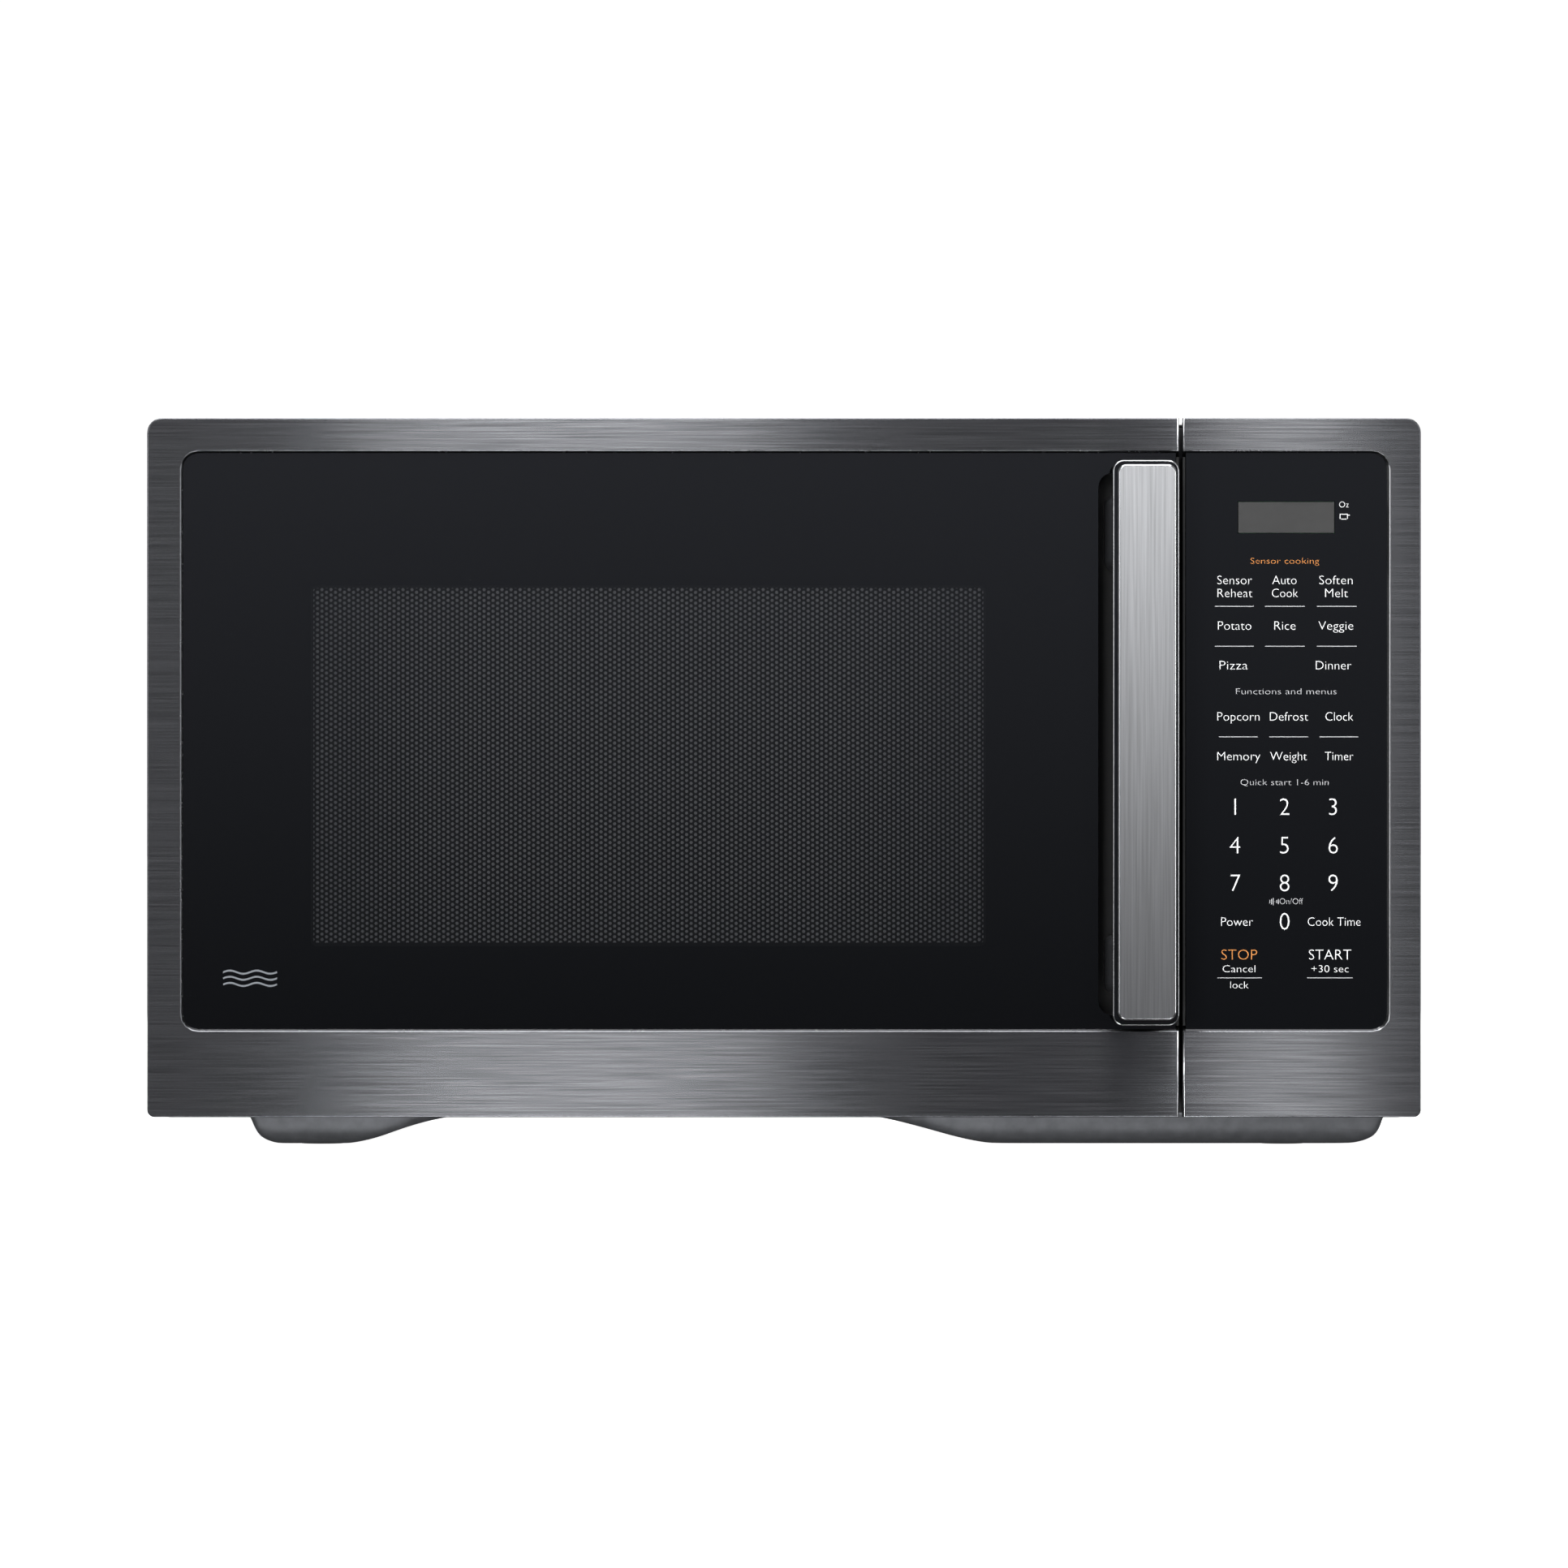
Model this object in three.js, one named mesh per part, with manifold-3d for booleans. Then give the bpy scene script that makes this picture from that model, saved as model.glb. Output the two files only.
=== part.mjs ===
// A countertop microwave oven with a pull-handle door, a touch control panel and a glass turntable.
//
// Millimetres. -Y is the front, +X is to the right seen from the front and +Z is up. The origin lies on the
// worktop, under the middle of the oven. Every mesh is one separate piece of the real oven.

import * as THREE from "three";
import { mergeVertices } from "three/addons/utils/BufferGeometryUtils.js";
import { ConvexGeometry } from "three/addons/geometries/ConvexGeometry.js";
import Module from "manifold-3d";

const wasm = await Module();
wasm.setup();

// ---------------------------------------------------------------- driving dimensions

const WIDTH = 520; // across the door and the control panel
const DEPTH = 434; // handle to the back of the rear cover
const HEIGHT = 298; // worktop to the top of the door
const HALF = WIDTH / 2;
const GAP = 0.3; // between pieces that touch
const RUNNING = 0.12; // round a shaft in its bore
const SHEET = 0.8; // thickness of the pressed steel sheets

// Levels from front to back.
const HANDLE_FRONT = -DEPTH / 2;
const FACE_FRONT = HANDLE_FRONT + 34;
const GLASS_FRONT = FACE_FRONT + 1.4;
const GLASS_BACK = GLASS_FRONT + 3.2;
const TRIM_BACK = FACE_FRONT + 12;
const SHELL_FRONT = GLASS_BACK + GAP;
const POCKET_FLOOR = FACE_FRONT + 17;
const DOOR_BACK = FACE_FRONT + 36;
const CHOKE_BACK = DOOR_BACK + 2.4;
const PLATE_FRONT = CHOKE_BACK + 1.1;
const PLATE_BACK = PLATE_FRONT + 1.2;
const REAR = DEPTH / 2;
const COVER_BACK = REAR - 4.3;
const CASE_BACK = COVER_BACK + GAP + SHEET;

// Levels from the worktop up.
const PAD_HEIGHT = 0.6;
const FACE_BOTTOM = 12.6;
const BELLY = 12.8; // underside of the flat part of the base plate, hidden behind the trim's lower edge
const CASE_TOP = HEIGHT - 1.6;
const BAND_BOTTOM = 49.6; // the black band across the door and the controls
const BAND_TOP = 282.4;

// Door and control panel, seen from the front.
const DOOR_RIGHT = 161.2;
const PANEL_LEFT = 162.8;
const BAND_LEFT = -244.4;
const BAND_RIGHT = 245.2;
const TOP_RADIUS = 6;
const BOTTOM_RADIUS = 3;
const BAND_RADIUS = 4.5;

// Door hinge, a pin at the top and one at the bottom on one upright axis.
const HINGE = { x: -HALF + 7.5, y: DOOR_BACK - 7 };
const PIN_RADIUS = 3;
const HINGE_NOTCH = 13.5;

// Cooking cavity, inside faces.
const CAVITY = { x0: -230, x1: 119, y0: PLATE_BACK + GAP, y1: 196, z0: 40, z1: 262 };

// Turntable, centred in the cavity.
const TABLE = { x: (CAVITY.x0 + CAVITY.x1) / 2, y: 27, radius: 157.5, underside: 51, rim: 64 };
const WELL = { radius: 140, floor: CAVITY.z0 - 3 };
const RING = { inner: 103, outer: 109, roller: 114.3, wheel: 6.6, axle: 2 };
const SHAFT_RADIUS = 3.5;

// Fan, blowing forward over the magnetron.
const FAN = { x: 190, z: 180, y: 152, tip: 48 };

// ---------------------------------------------------------------- finishes

const finish = (color, roughness, metalness) => new THREE.MeshStandardMaterial({ color, roughness, metalness });
const BLACK_STAINLESS = finish(0x6c6e72, 0.35, 0.9);
const STAINLESS = finish(0xb4b5b8, 0.32, 0.95);
const BLACK_GLASS = finish(0x141518, 0.05, 0);
const CLEAR_GLASS = finish(0xcfdad6, 0.05, 0);
const BLACK_GLOSS = finish(0x101113, 0.15, 0);
const BLACK_MATT = finish(0x1b1c1e, 0.55, 0);
const GREY_LENS = finish(0x585858, 0.3, 0);
const CASE_PAINT = finish(0x26272a, 0.45, 0.2);
const CAVITY_PAINT = finish(0xa9aba9, 0.4, 0.1);
const ZINC = finish(0x9a9c9e, 0.45, 0.9);
const MICA = finish(0xb9b096, 0.6, 0);
const RUBBER = finish(0x151515, 0.9, 0);
const WHITE_PLASTIC = finish(0xe4e2dc, 0.45, 0);
const BOARD_GREEN = finish(0x2e5b3c, 0.5, 0);
const COPPER_RED = finish(0x8c3b22, 0.4, 0.3);
const ALUMINIUM = finish(0xc6c8ca, 0.35, 0.95);

// ---------------------------------------------------------------- solids

const EX = new THREE.Vector3(1, 0, 0);
const EY = new THREE.Vector3(0, 1, 0);
const EZ = new THREE.Vector3(0, 0, 1);
// Where a drawing's own axes point when it stands square to X, Y or Z.
const STAND = {
  x: new THREE.Matrix4().makeBasis(EY, EZ, EX),
  y: new THREE.Matrix4().makeBasis(EX, EZ, EY.clone().negate()),
  z: new THREE.Matrix4(),
};

/** A closed geometry as a solid for joining and cutting. */
function solidOf(geometry) {
  const bare = geometry.index ? geometry.toNonIndexed() : geometry.clone();
  bare.deleteAttribute("normal");
  bare.deleteAttribute("uv");
  const merged = mergeVertices(bare, 1e-3);
  return new wasm.Manifold(
    new wasm.Mesh({
      numProp: 3,
      vertProperties: merged.attributes.position.array,
      triVerts: new Uint32Array(merged.index.array),
    }),
  );
}

/** A solid as a geometry for a mesh. */
function geometryOf(solid) {
  const { vertProperties, triVerts } = solid.getMesh();
  const geometry = new THREE.BufferGeometry();
  geometry.setAttribute("position", new THREE.BufferAttribute(vertProperties, 3));
  geometry.setIndex(new THREE.BufferAttribute(triVerts, 1));
  const flat = geometry.toNonIndexed();
  flat.computeVertexNormals();
  return flat;
}

const join = (first, ...others) => others.reduce((whole, piece) => whole.add(piece), first);
const cut = (first, ...tools) => tools.reduce((whole, tool) => whole.subtract(tool), first);

/** The points of a shape's outline, with the doubled points where arcs meet lines left out. */
function outline(shape, divisions) {
  const points = shape.getPoints(divisions);
  return points.filter((p, i) => p.distanceTo(points[(i + 1) % points.length]) > 1e-3);
}

/** A shape drawn square to an axis, as a prism from one level to another. */
function prism(shape, axis, from, to, divisions = 2) {
  const clean = new THREE.Shape(outline(shape, divisions));
  const geometry = new THREE.ExtrudeGeometry(clean, { depth: to - from, bevelEnabled: false });
  geometry.translate(0, 0, axis === "y" ? -to : from);
  return solidOf(geometry.applyMatrix4(STAND[axis]));
}

/** A rectangle with corner radii: one number, or any of bl, br, tr and tl. */
function panel(x0, x1, y0, y1, radii = 0) {
  const all = typeof radii === "number" ? radii : 0;
  const r = { bl: all, br: all, tr: all, tl: all, ...(typeof radii === "number" ? {} : radii) };
  const shape = new THREE.Shape();
  const corner = (x, y, radius, start) =>
    radius ? shape.absarc(x, y, radius, start, start + Math.PI / 2) : shape.lineTo(x, y);
  shape.moveTo(x0, y0 + r.bl);
  corner(x0 + r.bl, y0 + r.bl, r.bl, Math.PI);
  corner(x1 - r.br, y0 + r.br, r.br, -Math.PI / 2);
  corner(x1 - r.tr, y1 - r.tr, r.tr, 0);
  corner(x0 + r.tl, y1 - r.tl, r.tl, Math.PI / 2);
  return shape;
}

const disc = (x, y, radius) => new THREE.Shape().absarc(x, y, radius, 0, 2 * Math.PI);

/** A box between two corners. */
const block = (x0, x1, y0, y1, z0, z1) => prism(panel(x0, x1, y0, y1), "z", z0, z1);

/** A round bar along an axis; u and v are its centre on the drawing plane of that axis. */
const rod = (axis, u, v, radius, from, to, sides = 20) => prism(disc(u, v, radius), axis, from, to, sides / 2);

/** A profile of [radius, height] corners turned about the upright axis. */
function turned(profile, sides = 40) {
  const points = [...profile, profile[0]].map(([r, h]) => new THREE.Vector2(r, h));
  return solidOf(new THREE.LatheGeometry(points, sides).rotateX(Math.PI / 2));
}

/** The smallest convex solid around flat shapes at different levels. */
function hull(axis, ...levels) {
  const points = levels.flatMap(([shape, level]) =>
    outline(shape, 2).map((p) =>
      new THREE.Vector3(p.x, p.y, axis === "y" ? -level : level).applyMatrix4(STAND[axis]),
    ),
  );
  return solidOf(new ConvexGeometry(points));
}

/** A row of equal slots through a sheet, each made by slot(offset). */
const slots = (count, pitch, slot) => Array.from({ length: count }, (_, i) => slot(i * pitch));

/** Adds a piece to its assembly. */
function piece(assembly, name, solid, material, position) {
  const mesh = new THREE.Mesh(geometryOf(solid), material);
  mesh.name = name;
  if (position) mesh.position.set(...position);
  assembly.add(mesh);
  return mesh;
}

// ---------------------------------------------------------------- casing

/** The painted wrapper: top and two sides in one sheet, with a lip round the back for the screws. */
function outerCase() {
  const x = HALF - 1.4;
  const lip = 12;
  const outside = panel(-x, x, BELLY + 0.9, CASE_TOP, { tl: 5, tr: 5 });
  const inside = panel(-x + SHEET, x - SHEET, 0, CASE_TOP - SHEET, { tl: 4, tr: 4 });
  const throat = panel(-x + lip, x - lip, 0, CASE_TOP - lip);
  const wrap = cut(prism(outside, "y", PLATE_FRONT + 0.4, CASE_BACK), prism(inside, "y", -REAR, CASE_BACK - SHEET));
  const vents = [
    ...slots(11, 9, (s) => block(-HALF, -HALF + 5, -90 + s, -86 + s, 190, 226)),
    ...slots(11, 9, (s) => block(HALF - 5, HALF, 60 + s, 64 + s, 52, 88)),
  ];
  const holes = CASE_SCREWS.map(([sx, sz]) => rod("y", sx, sz, 2.4, COVER_BACK, REAR, 12));
  return cut(wrap, prism(throat, "y", CASE_BACK - 5, REAR), ...vents, ...holes);
}
const CASE_SCREWS = [-1, 1].flatMap((side) => [50, 276].map((z) => [side * (HALF - 7.4), z]));

/** A bulge pressed down from the base plate: [left, right, front, back] of its mouth and of its foot. */
function bulge(mouth, foot, inset) {
  const [x0, x1, y0, y1] = mouth;
  const [a0, a1, b0, b1] = foot;
  return hull(
    "z",
    [panel(x0 + inset, x1 - inset, y0 + inset, y1 - inset, 6), BELLY + SHEET + (inset ? 1 : -0.5)],
    [panel(a0 + inset, a1 - inset, b0 + inset, b1 - inset, 6), PAD_HEIGHT + GAP + inset],
  );
}

/** The steel base, with two pressed feet on the left and one long pressed rail on the right. */
function basePlate() {
  const x = HALF - 2.7;
  const y0 = PLATE_BACK + GAP;
  const tray = cut(
    block(-x, x, y0, COVER_BACK - SHEET - GAP, BELLY, BELLY + 13),
    block(-x + SHEET, x - SHEET, y0 + SHEET, COVER_BACK - 2 * SHEET - GAP, BELLY + SHEET, 40),
  );
  const feet = [
    [[-217, -136, -139, -83], [-208, -174, -131, -97]],
    [[-217, -136, 134, 190], [-208, -174, 148, 182]],
    [[34, 244, -139, 190], [84, 236, -131, 182]],
  ];
  const outside = feet.map(([mouth, foot]) => bulge(mouth, foot, 0));
  const inside = feet.map(([mouth, foot]) => bulge(mouth, foot, SHEET));
  const vents = slots(8, 10, (s) => block(-70 + s, -66 + s, 60, 100, 0, 20));
  return cut(join(tray, ...outside), ...inside, ...vents);
}

/** The rear cover, with a raised middle, air slots and the hole for the mains lead. */
function rearCover() {
  const edge = HALF - 3.2;
  const sheet = prism(panel(-edge, edge, 13, CASE_TOP - 1.4, { tl: 3, tr: 3 }), "y", COVER_BACK - SHEET, COVER_BACK);
  const raised = hull(
    "y",
    [panel(-214, 122, 34, 268, 8), COVER_BACK - 0.5],
    [panel(-206, 114, 42, 260, 8), REAR],
  );
  const hollow = hull(
    "y",
    [panel(-214, 122, 34, 268, 8), COVER_BACK - 2.2],
    [panel(-206, 114, 42, 260, 8), REAR - SHEET],
  );
  const intake = slots(12, 10, (s) => block(146, 234, 200, REAR, 122 + s, 126 + s));
  const exhaust = slots(8, 10, (s) => block(-196 + s, -192 + s, 200, REAR + 1, 212, 246));
  const lead = rod("y", MAINS_ENTRY.x, MAINS_ENTRY.z, 7.4, 200, REAR, 20);
  const holes = CASE_SCREWS.map(([sx, sz]) => rod("y", sx, sz, 1.8, 200, REAR, 12));
  return cut(join(sheet, raised), hollow, ...intake, ...exhaust, lead, ...holes);
}
const MAINS_ENTRY = { x: 222, z: 52 };

/** The bush that lines the mains lead's way out. */
const mainsBush = () =>
  cut(
    join(
      rod("y", MAINS_ENTRY.x, MAINS_ENTRY.z, 7.1, COVER_BACK - 5, COVER_BACK + 1, 20),
      rod("y", MAINS_ENTRY.x, MAINS_ENTRY.z, 10, COVER_BACK + GAP, COVER_BACK + 3, 20),
    ),
    rod("y", MAINS_ENTRY.x, MAINS_ENTRY.z, 4, 200, REAR + 1, 16),
  );

/** A pan-head screw pointing along +Y from its head at the origin, or along -Y if the way is -1. */
function screw(headRadius, headHeight, shankRadius, length, way) {
  const span = (a, b) => (way > 0 ? [a, b] : [-b, -a]);
  const head = cut(
    rod("y", 0, 0, headRadius, ...span(-headHeight, 0), 16),
    prism(panel(-headRadius * 0.6, headRadius * 0.6, -0.4, 0.4), "y", ...span(-headHeight - 1, -headHeight * 0.5)),
    prism(panel(-0.4, 0.4, -headRadius * 0.6, headRadius * 0.6), "y", ...span(-headHeight - 1, -headHeight * 0.5)),
  );
  return join(head, rod("y", 0, 0, shankRadius, ...span(-headHeight * 0.3, length), 12));
}

// ---------------------------------------------------------------- cavity

/** The plate round the cavity mouth, with the slots that the latch hooks enter. */
function frontPlate() {
  const x = HALF - 2.7;
  return cut(
    prism(panel(-x, x, 13.4, CASE_TOP - 1.3, { tl: 3.6, tr: 3.6 }), "y", PLATE_FRONT, PLATE_BACK),
    prism(panel(CAVITY.x0, CAVITY.x1, CAVITY.z0, CAVITY.z1, 3), "y", -REAR, 0),
    prism(panel(176, 248, 44, 270, 3), "y", -REAR, 0),
    ...LATCH_LEVELS.map((z) => prism(panel(143, 157, z - 9, z + 9), "y", -REAR, 0)),
  );
}
const LATCH_LEVELS = [94, 216];

/** Left wall, roof and right wall of the cavity, folded from one sheet. */
function cavityWrap() {
  const { x0, x1, y0, y1, z0, z1 } = CAVITY;
  const back = y1 + GAP + SHEET;
  return cut(
    block(x0 - SHEET, x1 + SHEET, y0, back, z0 + GAP, z1 + SHEET),
    block(x0, x1, y0 - 1, back + 1, 0, z1),
    block(x1 - 1, x1 + 2, FEED.y0, FEED.y1, FEED.z0, FEED.z1),
    ...slots(6, 6, (s) => rod("x", 124 + s, 244, 2, x1 - 1, x1 + 2, 8)),
    ...slots(9, 7, (s) => block(x0 - 2, x0 + 1, 118 + s, 121 + s, 232, 248)),
  );
}
const FEED = { y0: 0, y1: 50, z0: 182, z1: 222 };

/** The cavity floor, with the round well that the roller ring runs in. */
function cavityFloor() {
  const { x0, x1, y0, y1, z0 } = CAVITY;
  const { radius, floor } = WELL;
  const sheet = cut(
    block(x0 - SHEET, x1 + SHEET, y0, y1 + GAP + SHEET, z0 - SHEET, z0),
    rod("z", TABLE.x, TABLE.y, radius + 1, 0, 60, 60),
  );
  const well = turned(
    [
      [8.5, floor - SHEET],
      [radius - 2, floor - SHEET],
      [radius + 3, z0 - SHEET],
      [radius + 3, z0],
      [radius + 1, z0],
      [radius - 3, floor],
      [8.5, floor],
    ],
    60,
  );
  return join(sheet, well.translate(TABLE.x, TABLE.y, 0));
}

const cavityRearWall = () =>
  block(CAVITY.x0 + GAP, CAVITY.x1 - GAP, CAVITY.y1, CAVITY.y1 + SHEET, CAVITY.z0 + GAP, CAVITY.z1 - GAP);

// ---------------------------------------------------------------- turntable

/** The glass tray: flat plate, raised rim, a track below for the rollers and three lugs that the hub drives. */
function tray() {
  const { radius, underside, rim } = TABLE;
  const plate = turned(
    [
      [0, underside],
      [radius - 16, underside],
      [radius - 5, underside + 3],
      [radius, rim - 1.5],
      [radius - 1.5, rim],
      [radius - 3.5, rim - 0.5],
      [radius - 8, underside + 7],
      [radius - 17, underside + 4.5],
      [0, underside + 4.5],
    ],
    60,
  );
  const lugs = [0, 1, 2].map((k) => {
    const angle = (k * 2 * Math.PI) / 3 + Math.PI / 3;
    return rod("z", 14 * Math.cos(angle), 14 * Math.sin(angle), 4, underside - 6, underside + 1, 14);
  });
  return join(plate, ...lugs);
}

/** The three-armed hub that turns the tray, with the shaft that carries it. */
function driveHub() {
  const arms = [0, 1, 2].map((k) => {
    const arm = prism(panel(0, 17, -3.5, 3.5, { br: 3, tr: 3 }), "z", 43.5, TABLE.underside - GAP);
    return arm.rotate([0, 0, k * 120]);
  });
  return join(
    rod("z", 0, 0, 8, 38.2, TABLE.underside - GAP, 24),
    rod("z", 0, 0, SHAFT_RADIUS, 26, 40, 24),
    ...arms,
  );
}

/** The ring that carries the rollers, with a stub axle and a retaining head for each. */
function rollerRing() {
  const axleHeight = WELL.floor + GAP + RING.wheel;
  const ring = turned([
    [RING.inner, axleHeight - 3.5],
    [RING.outer, axleHeight - 3.5],
    [RING.outer, axleHeight + 3.5],
    [RING.inner, axleHeight + 3.5],
  ]);
  const end = RING.roller + 7.6;
  const axles = [0, 1, 2].map((k) =>
    join(
      rod("x", 0, axleHeight, RING.axle, RING.inner + 2, end, 24),
      rod("x", 0, axleHeight, RING.axle + 0.9, end - 0.8, end + 0.6, 14),
    ).rotate([0, 0, 120 * k + 90]),
  );
  return join(ring, ...axles);
}

/** One roller, about its own axle along X, at the origin. */
function roller() {
  const { wheel, axle } = RING;
  return turned(
    [
      [axle + RUNNING, -3.6],
      [wheel - 0.7, -3.6],
      [wheel, -2.8],
      [wheel, 2.8],
      [wheel - 0.7, 3.6],
      [axle + RUNNING, 3.6],
    ],
    24,
  ).rotate([0, 90, 0]);
}

/** The flat geared motor under the cavity, with its two fixing ears. */
function tableMotor() {
  const top = WELL.floor - SHEET - GAP;
  return cut(
    join(rod("z", 0, 0, 25, top - 16, top - 0.1, 32), prism(panel(-34, 34, -7, 7, 5), "z", top - 1.4, top)),
    rod("z", 0, 0, SHAFT_RADIUS + RUNNING, 20, 60, 24),
    rod("z", 29, 0, 2.2, 0, 60, 12),
    rod("z", -29, 0, 2.2, 0, 60, 12),
  );
}

// ---------------------------------------------------------------- microwave source and cooling

/** The duct from the magnetron to the cavity, open towards the cavity wall that closes it. */
const waveguide = () =>
  cut(
    block(CAVITY.x1 + SHEET + GAP, 161, -20, 112, 172, 228),
    block(CAVITY.x1, 161 - SHEET, -20 + SHEET, 112 - SHEET, 172 + SHEET, 228 - SHEET),
    rod("x", MAGNETRON.y, MAGNETRON.z, 11, 150, 170, 20),
  );
const MAGNETRON = { y: 78, z: 200, flange: 161 + GAP };

/** The magnetron: steel yoke, stack of cooling fins and the antenna that reaches into the duct. */
function magnetron() {
  const { y, z, flange } = MAGNETRON;
  const yoke = cut(
    block(flange, flange + 62, y - 38, y + 38, z - 40, z + 40),
    block(flange + 1.6, flange + 60.4, y - 50, y + 50, z - 38, z + 38),
  );
  const fins = slots(7, 6.5, (s) => block(flange + 12 + s, flange + 13 + s, y - 34, y + 34, z - 38.5, z + 38.5));
  return join(
    yoke,
    ...fins,
    rod("x", y, z, 19, flange + 1, flange + 61, 24),
    rod("x", y, z, 9, flange - 24, flange + 2, 20),
    block(flange + 61, flange + 80, y - 14, y + 14, z - 38, z - 12),
  );
}

/** The laminated core of the high-voltage transformer, on its mounting plate. */
function transformerCore() {
  const { x, y0, y1, z } = TRANSFORMER;
  return cut(
    join(block(x - 48, x + 48, y0, y1, z + 2, z + 80), block(x - 50, x + 50, y0 - 8, y1 + 8, z, z + 2.5)),
    block(x - 32, x - 16, y0 - 1, y1 + 1, z + 18, z + 66),
    block(x + 16, x + 32, y0 - 1, y1 + 1, z + 18, z + 66),
  );
}
const TRANSFORMER = { x: 178, y0: -66, y1: -10, z: PAD_HEIGHT + 2 * GAP + SHEET + 0.3 };

/** Its windings, one body of varnished coils round the middle leg. */
function transformerCoils() {
  const { x, y0, y1, z } = TRANSFORMER;
  return cut(
    prism(panel(x - 31.6, x + 31.6, y0 - 20, y1 + 20, 12), "z", z + 18.4, z + 65.6),
    block(x - 16.4, x + 16.4, y0 - GAP, y1 + GAP, 0, 200),
  );
}

/** The oval high-voltage capacitor, with its two terminals. */
const capacitor = () =>
  join(
    prism(panel(-17, 17, -27, 27, 16), "z", 3, 84, 3),
    block(-3, 3, -16, -15, 83, 92),
    block(-3, 3, 15, 16, 83, 92),
  );

/** The fan wheel: hub, seven pitched blades and the shaft into the motor. */
function fanWheel() {
  const blades = Array.from({ length: 7 }, (_, k) =>
    block(12, FAN.tip, 0, 1.6, -10, 10)
      .rotate([38, 0, 0])
      .translate(0, 10, 0)
      .rotate([0, (k * 360) / 7, 0]),
  );
  return join(rod("y", 0, 0, 15, 1, 19, 28), rod("y", 0, 0, 2.4, 12, 44, 20), ...blades);
}

/** The baffle round the fan, with the collar and the two arms that hold the motor. */
function fanBaffle() {
  const { x, y, z, tip } = FAN;
  const collar = cut(
    rod("y", x, z, tip + 4, y - 2, y + 22, 36),
    rod("y", x, z, tip + 2.4, y - 5, y + 30, 36),
  );
  const arm = (side) =>
    join(
      block(x + side * 34 - 3, x + side * 34 + 3, y + 24, y + 27, z - 36, z + 36),
      ...[-1, 1].map((end) =>
        block(x + side * 34 - 3, x + side * 34 + 3, y + 18, y + 26, z + end * 38 - 3, z + end * 38 + 3),
      ),
    );
  return join(
    cut(block(124, HALF - 4, y - 2, y, 60, CASE_TOP - 3), rod("y", x, z, tip + 3, 0, REAR, 36)),
    collar,
    arm(-1),
    arm(1),
  );
}

/** The shaded-pole fan motor, bolted across the two arms. */
const fanMotor = () => {
  const { x, y, z } = FAN;
  return cut(
    join(
      block(x - 38, x + 38, y + 27.3, y + 40, z - 18, z + 18),
      rod("y", x, z, 15, y + 22.5, y + 52, 24),
      block(x - 12, x + 12, y + 25, y + 50, z - 36, z - 17),
    ),
    rod("y", x, z, 2.4 + RUNNING, 0, y + 48, 20),
  );
};

// ---------------------------------------------------------------- controls and safety switches

/** The plastic bracket behind the latch slots, which carries the three switches and the lever. */
function interlockBracket() {
  const y0 = PLATE_BACK + GAP;
  const web = block(157, 159.4, y0, y0 + 44, 58, 246);
  const shelf = (z) => block(140, 159.4, y0, y0 + 26, z - 1.2, z + 1.2);
  return cut(
    join(web, ...LATCH_LEVELS.flatMap((z) => [shelf(z - 14), shelf(z + 14)]), block(140, 159.4, y0, y0 + 2.4, 120, 190)),
    rod("x", LEVER.y, LEVER.z, LEVER.pin + RUNNING, 150, 165, 20),
  );
}
const LEVER = { y: PLATE_BACK + 34, z: LATCH_LEVELS[0] + 4, pin: 1.8 };

/** A small switch with its plunger, centred on its own middle, plunger up. */
const microSwitch = () => join(block(-5, 5, -14, 14, -8, 8), block(-2, 2, 4, 7, 7, 9.2), block(-1, 1, -10, -9, -13, -7));

/** The lever between the lower hook and its switch, with its pivot pin. */
const switchLever = () =>
  join(
    rod("x", 0, 0, 4.4, 153, 156.6, 16),
    block(153, 156.6, -2, 2, -24, 0),
    rod("x", 0, 0, LEVER.pin, 154, 160, 20),
  );

/** The front of the control side, drawn in from its edges. */
const controlOutline = (inset) =>
  panel(PANEL_LEFT + inset, HALF - inset, FACE_BOTTOM + inset, HEIGHT - inset, {
    tr: Math.max(TOP_RADIUS - inset, 1),
    br: Math.max(BOTTOM_RADIUS - inset, 1),
  });

/**
 * A brushed trim: a shallow C of folded sheet round the black band, with a bevel where the band begins.
 * The band runs out through the side at the gap between the door and the controls.
 */
function trim(outside, inside, bandLeft, bandRight, gapSide) {
  const band = (grow) =>
    panel(bandLeft - grow, bandRight + grow, BAND_BOTTOM - grow, BAND_TOP + grow, BAND_RADIUS + grow);
  return cut(
    prism(outside, "y", FACE_FRONT, TRIM_BACK, 3),
    prism(inside, "y", GLASS_FRONT, TRIM_BACK + 1, 3),
    hull("y", [band(3.2), FACE_FRONT - 1], [band(0.2), FACE_FRONT + 1.2], [band(0), GLASS_BACK]),
    block(gapSide - 2, gapSide + 2, -REAR, 0, BAND_BOTTOM, BAND_TOP),
  );
}

const controlTrim = () => trim(controlOutline(0), controlOutline(1), PANEL_LEFT - 9, BAND_RIGHT, PANEL_LEFT);

/** The black panel over the controls, cut out for the display. */
const controlGlass = () =>
  cut(
    prism(
      panel(PANEL_LEFT + 1.3, BAND_RIGHT + 3, BAND_BOTTOM - 3, BAND_TOP + 3, { tr: 5, br: 5 }),
      "y",
      GLASS_FRONT + GAP,
      GLASS_FRONT + 2.4,
    ),
    prism(panel(DISPLAY.x0 - GAP, DISPLAY.x1 + GAP, DISPLAY.z0 - GAP, DISPLAY.z1 + GAP), "y", -REAR, 0),
  );
const DISPLAY = { x0: 185.5, x1: 224.6, z0: 251.2, z1: 263.7 };

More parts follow.
